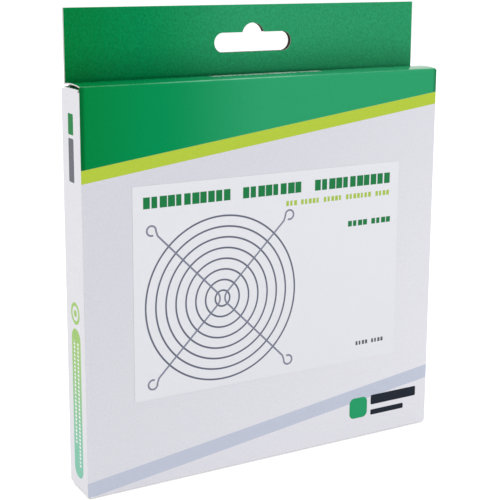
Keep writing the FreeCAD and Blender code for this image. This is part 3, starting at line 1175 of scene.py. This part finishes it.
@dataclass(frozen=True)
class Stock:
    """Sizes that the carton's pieces share, in millimetres."""

    board: float = 0.45
    fold: float = 0.9
    width: float = 148.0
    depth: float = 16.6
    height: float = 145.0
    header_height: float = 25.0
    header_inset: float = 1.3
    header_foot: float = 144.4
    header_face: float = 6.5
    dust_top: float = 143.9
    lid_inset: float = 0.5
    lid_crown_deg: float = 8.0
    lid_waist: float = 67.0
    tongue_radius: float = 13.6
    crease_foot: float = 143.2
    swell_most: float = 0.1
    arc_steps: int = 8

    @property
    def half(self) -> float:
        """Half the carton's width."""
        return self.width / 2

    @property
    def front(self) -> float:
        """Y of the front face."""
        return -self.depth / 2

    @property
    def rear(self) -> float:
        """Y of the back face."""
        return self.depth / 2

    @property
    def print_turn(self) -> float:
        """X at which an upright fold is half way round, where the front's print ends."""
        return self.half - self.fold * (1 - math.sqrt(0.5))

    @property
    def hinge(self) -> Pair:
        """Y and Z of the lid's hinge line."""
        return self.front + self.fold, self.height - self.fold

    def swell(self, x: Grid, z: Grid) -> Grid:
        """How far the front panel lies behind its plane: two slow waves that die out at its rim.

        The waves are products of sines and cosines of X and Z, times the two distances from
        the panel's rims as shares of its half sizes.

        Args:
            x: places across the panel.
            z: places up the panel.

        Returns:
            The depths.
        """
        rim = (1 - (x / self.half) ** 2) * (1 - (2 * z / self.height - 1) ** 2)
        waves = 0.5 + 0.3 * np.sin(x / 19.0 + 0.6) * np.cos(z / 27.0) + 0.2 * np.cos(x / 41.0)
        return self.swell_most * np.clip(rim, 0, 1) * waves


class Stretch(Enum):
    """Stretches of the sleeve's profile: each one's name and the finishes of its two halves."""

    GLUE = ("glue flap", Face.OTHER, Face.OTHER)
    SEAM = ("fold at the seam", Face.OTHER, Face.OTHER)
    RIGHT = ("right side", Face.OTHER, Face.OTHER)
    FOLD_RIGHT = ("front's right fold", Face.OTHER, Face.PRINTED)
    FRONT = ("front", Face.PRINTED, Face.PRINTED)
    FOLD_LEFT = ("front's left fold", Face.PRINTED, Face.OTHER)
    LEFT = ("left side", Face.OTHER, Face.OTHER)
    FOLD_BACK = ("back's fold", Face.OTHER, Face.BACK)
    BACK = ("back", Face.BACK, Face.BACK)


@dataclass(frozen=True)
class Sleeve:
    """Front, side and back panels with the glue flap: one profile carried up the carton."""

    stock: Stock
    rows: int = 48
    front_columns: int = 72
    back_columns: int = 48
    side_columns: int = 10
    flap_columns: int = 6
    side_foot: float = 1.8
    side_top: float = 143.0
    back_foot: float = 1.35
    glue_flap: float = 12.0
    glue_inset: float = 5.0
    seam_inset: float = 0.1

    def build(self, finishes: Finishes) -> bpy.types.Object:
        """Build the sleeve: each stretch of the profile is carried from its foot to its top.

        Args:
            finishes: the object's materials.

        Returns:
            The piece.
        """
        s = self.stock
        lines, kinds = zip(*self.parts())
        profile = path(*lines)
        # A stretch's first point is the last one of the stretch before
        steps = np.array([len(line) - 1 for line in lines])
        counts = steps + (np.arange(len(steps)) == 0)
        low, high = (np.repeat([end(kind) for kind in kinds], counts)
                     for end in (self._foot, self._top))
        # The crease strip goes on from the printed half of each front fold
        is_fold = np.repeat([kind in (Stretch.FOLD_LEFT, Stretch.FOLD_RIGHT) for kind in kinds],
                            counts)
        inside = np.abs(profile[:, 0]) < s.print_turn + NEARLY
        high = np.where(is_fold & inside, s.crease_foot, high)
        face = carried(profile, low, high, self.rows, Axis.Z)
        # Rows close up towards both ends, by a cosine, so that the folds' ends stay crisp
        share = 0.5 - 0.5 * np.cos(np.pi * np.linspace(0, 1, self.rows + 1))
        face[:, :, 2] = low[:, None] * (1 - share) + high[:, None] * share
        is_front = np.repeat([kind is Stretch.FRONT for kind in kinds], counts)
        face[is_front, :, 1] += s.swell(face[is_front, :, 0], face[is_front, :, 2])
        marks = np.concatenate([self._marks(kind, count) for kind, count in zip(kinds, steps)])
        return mesh_piece(
            "carton_sleeve", [board(face[:, ::-1], s.board, marks=marks)],
            [finishes.front, finishes.raw, finishes.cut_white, finishes.side, finishes.back])

    def parts(self) -> list[tuple[Grid, Stretch]]:
        """The profile seen from above, as runs and arcs from the glue flap to the back.

        Returns:
            Points and kind of each stretch.
        """
        s = self.stock
        left, right = -s.half + s.fold, s.half - s.fold
        front_y, back_y, seam_y = s.front + s.fold, s.rear - s.fold, s.rear - s.board - s.fold
        flap_y = s.rear - s.board
        return [
            (run((right - self.glue_flap, flap_y), (right, flap_y), self.flap_columns),
             Stretch.GLUE),
            (arc((right, seam_y), s.fold, 90, 0, s.arc_steps), Stretch.SEAM),
            (run((s.half, seam_y), (s.half, front_y), self.side_columns), Stretch.RIGHT),
            (arc((right, front_y), s.fold, 0, -90, s.arc_steps), Stretch.FOLD_RIGHT),
            (run((right, s.front), (left, s.front), self.front_columns), Stretch.FRONT),
            (arc((left, front_y), s.fold, -90, -180, s.arc_steps), Stretch.FOLD_LEFT),
            (run((-s.half, front_y), (-s.half, back_y), self.side_columns), Stretch.LEFT),
            (arc((left, back_y), s.fold, 180, 90, s.arc_steps), Stretch.FOLD_BACK),
            (run((left, s.rear), (s.half - self.seam_inset, s.rear), self.back_columns),
             Stretch.BACK),
        ]

    def _foot(self, kind: Stretch) -> float:
        """Where a stretch of the profile begins.

        Args:
            kind: the stretch.

        Returns:
            Its Z.
        """
        if kind in (Stretch.FRONT, Stretch.FOLD_RIGHT, Stretch.FOLD_LEFT):
            return self.stock.fold
        return {Stretch.GLUE: self.side_foot + self.glue_inset,
                Stretch.BACK: self.back_foot}.get(kind, self.side_foot)

    def _top(self, kind: Stretch) -> float:
        """Where a stretch of the profile ends."""
        return {Stretch.GLUE: self.side_top - self.glue_inset,
                Stretch.FRONT: self.stock.crease_foot,
                Stretch.BACK: self.stock.header_foot}.get(kind, self.side_top)

    @staticmethod
    def _marks(kind: Stretch, count: int) -> Grid:
        """Material places of a stretch: one print ends and the next begins half way."""
        half = count // 2
        return np.repeat([face.value for face in kind.value[1:]], [half, count - half])


@dataclass(frozen=True)
class Bottom:
    """Glued bottom: the front and back flaps over each other, and the two dust flaps."""

    stock: Stock
    inset: float = 1.0
    gap: float = 0.6
    dust_length: float = 16.0
    columns: int = 24
    flap_rows: int = 8
    dust_rows: int = 5
    dust_columns: int = 4

    def build(self, finishes: Finishes) -> bpy.types.Object:
        """Build the bottom flaps, each a quarter fold and a level run carried along the base.

        Args:
            finishes: the object's materials.

        Returns:
            The piece.
        """
        s = self.stock
        across = s.half - self.inset
        fold_y, back_y = s.front + s.fold, s.rear - s.fold
        outer = path(arc((fold_y, s.fold), s.fold, 180, 270, s.arc_steps),
                     run((fold_y, 0), (s.rear - self.gap, 0), self.flap_rows))
        inner = path(arc((back_y, s.board + s.fold), s.fold, 360, 270, s.arc_steps),
                     run((back_y, s.board), (fold_y + self.gap, s.board), self.flap_rows))
        shells = [board(carried(outer, -across, across, self.columns, Axis.X), s.board),
                  board(carried(inner, across, -across, self.columns, Axis.X), s.board)]
        span = s.depth / 2 - s.fold - self.gap
        level = 2 * s.board
        for side in Side:
            way = side.value
            fold_x = way * (s.half - s.fold)
            flap = path(arc((fold_x, level + s.fold), s.fold,
                            180 if side is Side.LEFT else 360, 270, s.arc_steps),
                        run((fold_x, level), (way * (s.half - self.dust_length), level),
                            self.dust_rows))
            shells.append(board(carried(flap, -way * span, way * span, self.dust_columns,
                                        Axis.Y), s.board))
        return mesh_piece("carton_bottom", shells,
                          [finishes.pale, finishes.raw, finishes.cut_white])


@dataclass(frozen=True)
class DustFlaps:
    """Top dust flaps, each folded in from its side panel and narrowed behind its shoulder."""

    stock: Stock
    length: float = 16.0
    shoulder: float = 5.0
    shoulder_step: float = 0.2
    front_gap: float = 1.3
    rear_gap: float = 0.3
    rear_narrow: float = 5.25
    front_taper: float = 1.5
    rear_taper: float = 2.0
    pale_share: float = 0.75
    near_rows: int = 3
    far_rows: int = 6
    columns: int = 8

    def build(self, finishes: Finishes, side: Side) -> bpy.types.Object:
        """Build one flap: a quarter fold and a level run, whose two borders taper inwards.

        Args:
            finishes: the object's materials.
            side: the carton's end that the flap closes.

        Returns:
            The piece.
        """
        s, way, top = self.stock, side.value, self.stock.dust_top
        fold_x = way * (s.half - s.fold)
        shoulder_x = way * (s.half - self.shoulder)
        narrow_x = way * (s.half - self.shoulder - self.shoulder_step)
        end_x = way * (s.half - self.length)
        flap = path(arc((fold_x, top - s.fold), s.fold, 180 if side is Side.LEFT else 0, 90,
                        s.arc_steps),
                    run((fold_x, top), (shoulder_x, top), self.near_rows),
                    run((shoulder_x, top), (narrow_x, top), 1),
                    run((narrow_x, top), (end_x, top), self.far_rows))
        inward = s.half - self.shoulder - np.abs(flap[:, 0])
        share = np.clip(inward / (self.length - self.shoulder), 0, 1)
        front = s.front + self.front_gap + self.front_taper * share
        rear = np.where(inward < self.shoulder_step / 2, s.header_face - self.rear_gap,
                        self.rear_narrow - self.rear_taper * share)
        low, high = (rear, front) if side is Side.RIGHT else (front, rear)
        # The side's pale print ends part of the way round the fold
        marks = np.full(len(flap) - 1, Face.OTHER.value)
        marks[:round(s.arc_steps * self.pale_share)] = Face.PRINTED.value
        shell = board(carried(flap, low, high, self.columns, Axis.Y), s.board, marks=marks)
        return mesh_piece(f"dust_flap_{side.name.lower()}", [shell],
                          [finishes.pale, finishes.raw, finishes.cut_white, finishes.crease])


@dataclass(frozen=True)
class Crease:
    """The front crease: a curved strip of board between the front panel and the lid."""

    stock: Stock
    corner_turn: float = 0.6
    upright_rows: int = 3
    bend_rows: int = 10
    end_share: float = 0.0045
    end_columns: int = 5
    columns: int = 95

    def build(self, finishes: Finishes) -> bpy.types.Object:
        """Build the strip, whose two ends go round the front's upright folds.

        Each row's reach falls from the folds to the lid's ends as a quarter of an ellipse.
        Past a fold's start the sheet moves towards the hinge by the fold's radius less the
        square root of its square less the square of the way past.

        Args:
            finishes: the object's materials.

        Returns:
            The piece.
        """
        s = self.stock
        bend = path(run((s.front, s.crease_foot), (s.front, s.hinge[1]), self.upright_rows),
                    arc(s.hinge, s.fold, 180, 90 + s.lid_crown_deg, self.bend_rows))
        lid_reach = s.half - s.lid_inset
        climb = np.clip((bend[:, 1] - s.hinge[1]) / (s.fold * self.corner_turn), 0, 1)
        reach = lid_reach + (s.print_turn - lid_reach) * np.sqrt(1 - climb ** 2)
        # Columns close up at both ends, where the strip goes round the folds
        end, steps = self.end_share, self.end_columns + 1
        columns = np.concatenate([np.linspace(0, end, steps)[:-1],
                                  np.linspace(end, 1 - end, self.columns + 1),
                                  np.linspace(1 - end, 1, steps)[1:]])
        face = carried(bend, reach, -reach, columns, Axis.X)
        past = np.clip(np.abs(face[:, :, 0]) - (s.half - s.fold), 0, None)
        inward = s.fold - np.sqrt(s.fold ** 2 - past ** 2)
        level = np.clip(bend[:, 1], None, s.hinge[1])
        way = np.stack([s.hinge[0] - bend[:, 0], level - bend[:, 1]], axis=-1) / s.fold
        face[:, :, 1:] += inward[:, :, None] * way[:, None, :]
        # The front panel's waves end on the crease, so the strip starts on the same line
        share = np.linspace(1, 0, len(bend))[:, None]
        face[:, :, 1] += share * s.swell(face[:, :, 0], np.full(face.shape[:2], s.crease_foot))
        return mesh_piece("lid_crease_strip", [board(face, s.board)],
                          [finishes.crease, finishes.raw, finishes.cut_white])


@dataclass(frozen=True)
class Lid:
    """Tuck lid: a crowned panel, two slit-lock ears and a tongue curled about the crease."""

    stock: Stock
    tongue_turn_deg: float = 50.0
    tongue_corner: float = 6.0
    ear_turn_deg: float = 0.9
    slit: float = 0.15
    panel_rows: int = 20
    panel_columns: int = 81
    ear_columns: int = 8
    tongue_rows: int = 26
    tongue_columns: int = 80

    @property
    def crown(self) -> tuple[float, Pair]:
        """The panel's crown: an arc over the chord between the lid's two folds.

        Returns:
            Its radius and its centre, as Y and Z.
        """
        s = self.stock
        angle = math.radians(s.lid_crown_deg)
        chord = s.tongue_radius - s.fold
        radius = (chord / 2 + s.fold * math.sin(angle)) / math.sin(angle)
        centre = (s.hinge[0] + chord / 2, s.hinge[1] + (s.fold - radius) * math.cos(angle))
        return radius, centre

    def panel(self, finishes: Finishes) -> bpy.types.Object:
        """Build the lid's panel, an arc carried across, whose ears end a little sooner.

        Args:
            finishes: the object's materials.

        Returns:
            The piece.
        """
        s = self.stock
        radius, centre = self.crown
        reach, waist, slit = s.half - s.lid_inset, s.lid_waist, self.slit
        xs = np.concatenate([np.linspace(-reach, -waist - slit, self.ear_columns),
                             np.linspace(-waist, waist, self.panel_columns),
                             np.linspace(waist + slit, reach, self.ear_columns)])
        rear_deg = 90 - s.lid_crown_deg
        end = np.where(np.abs(xs) > waist + slit / 2, rear_deg - self.ear_turn_deg, rear_deg)
        share = np.linspace(0, 1, self.panel_rows + 1)[:, None]
        angle = np.radians((90 + s.lid_crown_deg) * (1 - share) + end[None, :] * share)
        face = np.stack([np.broadcast_to(xs, angle.shape), centre[0] + radius * np.cos(angle),
                         centre[1] + radius * np.sin(angle)], axis=-1)
        return mesh_piece("lid_panel", [board(face[:, ::-1], s.board)],
                          [finishes.lid, finishes.raw, finishes.cut_white])

    def tongue(self, finishes: Finishes) -> bpy.types.Object:
        """Build the rear fold and the tongue, an arc whose free corners are rounded.

        Towards the free edge the tongue's half width falls as a quarter circle.

        Args:
            finishes: the object's materials.

        Returns:
            The piece.
        """
        s = self.stock
        fold_y = s.hinge[0] + s.tongue_radius - s.fold
        line = path(arc((fold_y, s.hinge[1]), s.fold, 90 - s.lid_crown_deg, 0, s.arc_steps),
                    arc(s.hinge, s.tongue_radius, 0, -self.tongue_turn_deg, self.tongue_rows))
        length = np.concatenate([[0], np.cumsum(np.linalg.norm(np.diff(line, axis=0), axis=1))])
        past = np.clip(length - (length[-1] - self.tongue_corner), 0, self.tongue_corner)
        half = s.lid_waist - self.tongue_corner + np.sqrt(self.tongue_corner ** 2 - past ** 2)
        face = carried(line, half, -half, self.tongue_columns, Axis.X)
        return mesh_piece("lid_tongue", [board(face, s.board)],
                          [finishes.lid, finishes.raw, finishes.cut_white])


@dataclass(frozen=True)
class Header:
    """Header: the back panel carried up, doubled over forward and glued inside.

    The two layers spring apart round the hanging slot and close up towards the ends.
    """

    stock: Stock
    closed_thick: float = 0.92
    top_thick: float = 0.95
    foot_spring: float = 0.5
    foot_reach: float = 0.8
    belly: float = 1.2
    slot_width: float = 32.2
    slot_height: float = 7.1
    slot_rise: float = 8.0
    bump_radius: float = 4.75
    bump_height: float = 3.4
    ray_height: float = 12.4
    tab_inset: float = 16.0
    lap: float = 5.0
    tab: float = 10.0
    end_steps: int = 56
    top_steps: int = 6
    bump_steps: int = 24
    foot_steps: int = 28
    fold_rows: int = 12
    lap_rows: int = 4
    lap_columns: int = 24
    ring_shares: tuple[float, ...] = (0.0, 0.015, 0.05, 0.12, 0.22, 0.35, 0.5, 0.64, 0.76,
                                      0.84, 0.89, 0.925, 0.95, 0.975, 1.0)

    @property
    def reach(self) -> float:
        """Half the header's width."""
        return self.stock.half - self.stock.header_inset

    @property
    def top_z(self) -> float:
        """Height at which the top fold begins."""
        return self.stock.height + self.stock.header_height - self.top_thick / 2

    def thickness(self, x: Grid, z: Grid) -> Grid:
        """Distance over both layers: a base, more near the foot, and a belly at mid height.

        The belly is a squared cosine across the header times a sine up it. At the foot
        itself the layers are pressed together, by a bell curve of the height above it.

        Args:
            x: places across the header.
            z: places up the header.

        Returns:
            The distances.
        """
        foot = self.stock.header_foot
        rise = np.clip((z - foot) / (self.top_z - foot), 0, 1)
        across = np.cos(np.pi * x / (2 * self.reach)) ** 2
        spring = self.foot_spring * (1 - rise) ** 2 * (0.3 + 0.7 * across)
        sprung = self.top_thick + spring + self.belly * across * np.sin(np.pi * rise)
        press = np.exp(-((z - foot) / self.foot_reach) ** 2)
        return sprung * (1 - press) + self.closed_thick * press

    def slot_outline(self) -> Grid:
        """The hanging slot: two half circles joined by straight runs, with a bump on top.

        Returns:
            Points round it from the foot of its right end, as X and Z.
        """
        end = self.slot_height / 2
        foot = self.stock.height + self.slot_rise
        side = self.slot_width / 2 - end
        top = foot + self.slot_height
        bump_z = top + self.bump_height - self.bump_radius
        lean = math.degrees(math.asin((top - bump_z) / self.bump_radius))
        bump_x = self.bump_radius * math.cos(math.radians(lean))
        outline = path(
            arc((side, foot + end), end, -90, 90, self.end_steps),
            run((side, top), (bump_x, top), self.top_steps),
            arc((0, bump_z), self.bump_radius, lean, 180 - lean, self.bump_steps),
            run((-bump_x, top), (-side, top), self.top_steps),
            arc((-side, foot + end), end, 90, 270, self.end_steps),
            run((-side, foot), (side, foot), self.foot_steps))
        return outline[:-1]

    def frame_round(self, outline: Grid) -> Grid:
        """The header's rim point that faces each point of the slot's outline.

        Each is where a ray from the slot's middle meets the rim. The points nearest to the
        four corners move onto them.

        Args:
            outline: the slot's outline.

        Returns:
            As many points on the rim.
        """
        s = self.stock
        middle = np.array([0.0, s.height + self.slot_rise + self.slot_height / 2])
        away = (outline - middle) / np.array([self.slot_width / 2, self.slot_height / 2])
        away *= np.array([self.reach, self.ray_height])
        up, down = self.top_z - middle[1], middle[1] - s.header_foot
        across = self.reach / np.maximum(np.abs(away[:, 0]), NEARLY)
        upward = np.where(away[:, 1] > 0, up, down) / np.maximum(np.abs(away[:, 1]), NEARLY)
        rim = middle + away * np.minimum(across, upward)[:, None]
        for x in (-self.reach, self.reach):
            for z in (self.top_z, s.header_foot):
                corner = np.array([x, z])
                rim[np.argmin(np.linalg.norm(rim - corner, axis=1))] = corner
        return rim

    def layer(self, front: bool) -> Grid:
        """Printed face of one layer, as rings of points from the slot out to the rim.

        Each ring lies its share of the way from the slot's outline to the rim.

        Args:
            front: True for the front layer, False for the rear one.

        Returns:
            Points, outline points by rings by 3.
        """
        outline = self.slot_outline()[:, None, :]
        rim = self.frame_round(outline[:, 0])[:, None, :]
        shares = np.array(self.ring_shares)[None, :, None]
        rings = outline * (1 - shares) + rim * shares
        x, z = rings[..., 0], rings[..., 1]
        rear = np.full(x.shape, self.stock.rear)
        return np.stack([x, rear - self.thickness(x, z) if front else rear, z], axis=-1)

    def fold(self, front: Grid) -> Shell:
        """The top fold: half a circle carried along the front layer's top edge.

        Args:
            front: points of the front layer.

        Returns:
            The sheet.
        """
        top = front[:, -1, :]
        xs = np.sort(top[np.abs(top[:, 2] - self.top_z) < NEARLY, 0])[::-1]
        radius = self.top_thick / 2
        line = arc((self.stock.rear - radius, self.top_z), radius, 180, 0, self.fold_rows)
        shape = (len(line), len(xs))
        face = np.stack([np.broadcast_to(xs, shape), np.broadcast_to(line[:, :1], shape),
                         np.broadcast_to(line[:, 1:], shape)], axis=-1)
        # The back's print ends at the top of the fold
        marks = np.repeat([Face.PRINTED.value, Face.BACK.value], self.fold_rows // 2)
        return board(face, self.stock.board, marks=marks, first=Face.OTHER, last=Face.OTHER)

    def glued_lap(self) -> Shell:
        """The front layer's foot: it leans back to the back panel and runs down inside it.

        Returns:
            The sheet.
        """
        s = self.stock
        inside, lap_z = s.rear - 2 * s.board, s.header_foot - self.lap
        foot_y = float(s.rear - self.thickness(np.array(0.0), np.array(s.header_foot)))
        line = path(run((inside, lap_z - self.tab), (inside, lap_z), self.lap_rows),
                    run((inside, lap_z), (foot_y, s.header_foot), self.lap_rows))
        half = s.half - self.tab_inset
        return board(carried(line, half, -half, self.lap_columns, Axis.X), s.board)

    def build(self, finishes: Finishes) -> bpy.types.Object:
        """Build both layers, the top fold, and the lap that is glued inside.

        Args:
            finishes: the object's materials.

        Returns:
            The piece.
        """
        thick = self.stock.board
        front, rear = self.layer(True)[::-1], self.layer(False)
        back_print = np.full(len(rear), Face.BACK.value)
        # The faces between the layers and the rear layer's slot rim take the near-black inside
        # as painted shade
        shells = [board(front, thick, ring=True, last=Face.OTHER),
                  board(rear, thick, ring=True, marks=back_print, first=Face.RAW,
                        last=Face.OTHER),
                  self.fold(front), self.glued_lap()]
        # The front layer's slot rim takes the dark cut edge as painted shade
        return mesh_piece("header", shells, [finishes.header, finishes.glued, finishes.cut,
                                             finishes.cut_white, finishes.back])


@dataclass(frozen=True)
class Label:
    """Paper label that lies on the front panel and follows its waves."""

    stock: Stock
    left: float = -55.5
    right: float = 56.7
    bottom: float = 32.6
    top: float = 110.0
    paper: float = 0.1
    glue: float = 0.004
    columns: int = 56
    rows: int = 40

    def build(self, finishes: Finishes) -> bpy.types.Object:
        """Build the label: the front panel's own surface, moved out by glue and paper.

        Args:
            finishes: the object's materials.

        Returns:
            The piece.
        """
        s = self.stock
        x, z = np.meshgrid(np.linspace(self.left, self.right, self.columns + 1),
                           np.linspace(self.bottom, self.top, self.rows + 1), indexing="ij")
        y = s.front + s.swell(x, z)
        face = np.stack([x, y - self.paper, z], axis=-1)
        back = np.stack([x, y - self.glue, z], axis=-1)
        return mesh_piece("label_sheet", [board(face, self.paper, back=back)],
                          [finishes.label, finishes.paper, finishes.paper])


# ---- studio ------------------------------------------------------------------------------


@dataclass(frozen=True)
class Lamp:
    """A soft square lamp that points at the carton."""

    name: str
    place: tuple[float, float, float]
    size: float
    watts: float

    def build(self, target: Sequence[float]) -> None:
        """Place the lamp so that it faces a point.

        Args:
            target: the point, in metres.
        """
        data = bpy.data.lights.new(self.name, "AREA")
        data.size = self.size
        data.energy = self.watts
        item = bpy.data.objects.new(self.name, data)
        item.location = self.place
        way = item.location.copy()
        way.x, way.y, way.z = (aim - start for aim, start in zip(target, self.place))
        item.rotation_euler = way.to_track_quat("-Z", "Y").to_euler()
        bpy.context.scene.collection.objects.link(item)


@dataclass(frozen=True)
class Studio:
    """Pale floor, soft lamps, white background and the camera of the photograph."""

    ambient: float = 0.72
    target: tuple[float, float, float] = (0.0, 0.0, 0.08)
    lamps: tuple[Lamp, ...] = (
        Lamp("key_lamp", (-1.3, -0.75, 1.2), 1.1, 9.0),
        Lamp("sheen_lamp", (0.85, -1.0, 0.42), 0.8, 4.1),
        Lamp("rear_lamp", (0.4, 1.4, 0.9), 1.2, 9.0),
    )
    floor_half: float = 6.0
    floor_z: float = -0.0002
    floor_tone: float = 0.8
    floor_glow: float = 0.46
    camera_place: tuple[float, float, float] = (-217.23, -371.76, 187.7)
    camera_turn_deg: tuple[float, float, float] = (78.7936, -0.3273, -29.7065)
    focal_px: float = 1187.73
    centre_px: Pair = (250.0, 190.0)
    sensor_mm: float = 36.0
    clip_m: Pair = (0.01, 50.0)

    def build(self) -> None:
        """Build the whole studio."""
        self.world()
        self.floor()
        for lamp in self.lamps:
            lamp.build(self.target)
        self.camera()

    def world(self) -> None:
        """World light: plain for shading, white where the camera or a reflection sees it."""
        world = bpy.data.worlds.new("studio_world")
        world.use_nodes = True
        world.node_tree.nodes.clear()
        paint = Paint(world.node_tree)
        plain, white = (paint.node("ShaderNodeBackground", {"Color": (1, 1, 1, 1),
                                                            "Strength": strength}).outputs[0]
                        for strength in (self.ambient, 1.0))
        mix = paint.node("ShaderNodeMixShader", {0: self.seen(paint), 1: plain, 2: white})
        paint.node("ShaderNodeOutputWorld", {"Surface": mix.outputs[0]})
        bpy.context.scene.world = world

    @staticmethod
    def seen(paint: Paint) -> Socket:
        """1 for rays from the camera, a reflection or glass, and 0 for the light that falls.

        Args:
            paint: the paint of a material or the world.

        Returns:
            The number.
        """
        rays = paint.node("ShaderNodeLightPath").outputs
        shown = paint.math("MAXIMUM", rays["Is Camera Ray"], rays["Is Glossy Ray"])
        return paint.math("MAXIMUM", shown, rays["Is Transmission Ray"])

    def floor(self) -> None:
        """Pale floor that keeps the carton's shadow and is white elsewhere."""
        side = self.floor_half
        mesh = bpy.data.meshes.new("floor")
        mesh.from_pydata([(-side, -side, 0), (side, -side, 0), (side, side, 0),
                          (-side, side, 0)], [], [(0, 1, 2, 3)])
        item = bpy.data.objects.new("floor", mesh)
        item.location.z = self.floor_z
        bpy.context.scene.collection.objects.link(item)
        material, paint, shader = new_material("pale_floor")
        shader.inputs["Base Color"].default_value = (*[self.floor_tone] * 3, 1)
        shader.inputs["Roughness"].default_value = 0.9
        shader.inputs["Specular IOR Level"].default_value = 0.0
        shader.inputs["Emission Color"].default_value = (1, 1, 1, 1)
        paint.feed(shader.inputs["Emission Strength"],
                   paint.math("MULTIPLY", self.seen(paint), self.floor_glow))
        mesh.materials.append(material)

    def camera(self) -> None:
        """The photograph's camera, with its centre moved by a shift of the lens."""
        data = bpy.data.cameras.new("camera")
        data.sensor_width = self.sensor_mm
        data.lens = self.focal_px / IMAGE_SIDE_PX * self.sensor_mm
        data.shift_x = (IMAGE_SIDE_PX / 2 - self.centre_px[0]) / IMAGE_SIDE_PX
        data.shift_y = (self.centre_px[1] - IMAGE_SIDE_PX / 2) / IMAGE_SIDE_PX
        data.clip_start, data.clip_end = self.clip_m
        item = bpy.data.objects.new("camera", data)
        item.location = [part * MM for part in self.camera_place]
        item.rotation_euler = [math.radians(part) for part in self.camera_turn_deg]
        bpy.context.scene.collection.objects.link(item)
        bpy.context.scene.camera = item


def dress(frame: dict) -> None:
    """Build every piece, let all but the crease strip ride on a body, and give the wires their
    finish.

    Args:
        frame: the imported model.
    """
    stock, finishes = Stock(), Finishes()
    root_pieces = [Sleeve(stock).build(finishes), Bottom(stock).build(finishes),
                   *(DustFlaps(stock).build(finishes, side) for side in Side),
                   Header(stock).build(finishes)]
    for piece in root_pieces:
        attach(piece, ROOT)
        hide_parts("carton")
    lid = Lid(stock)
    for piece in (lid.panel(finishes), lid.tongue(finishes)):
        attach(piece, LID_BODY)
        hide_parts("lid")
    crease = Crease(stock).build(finishes)
    stock.front * MM
    (stock.hinge[0] - 0.12) * MM
    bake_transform(crease)
    label = Label(stock).build(finishes)
    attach(label, ROOT)
    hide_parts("label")
    for name, node in frame["nodes"].items():
        if name.startswith("guard_"):
            node.data.materials.clear()
            node.data.materials.append(finishes.wire)
            LOG.info("%s keeps its own shape", name)


def main() -> None:
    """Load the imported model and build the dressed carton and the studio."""
    logging.basicConfig(level=logging.INFO, format="%(name)s: %(message)s")
    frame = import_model()
    bpy.context.scene.view_settings.view_transform = "Standard"
    dress(frame)
    Studio().build()
    bpy.context.view_layer.update()


if __name__ == "__main__":
    main()
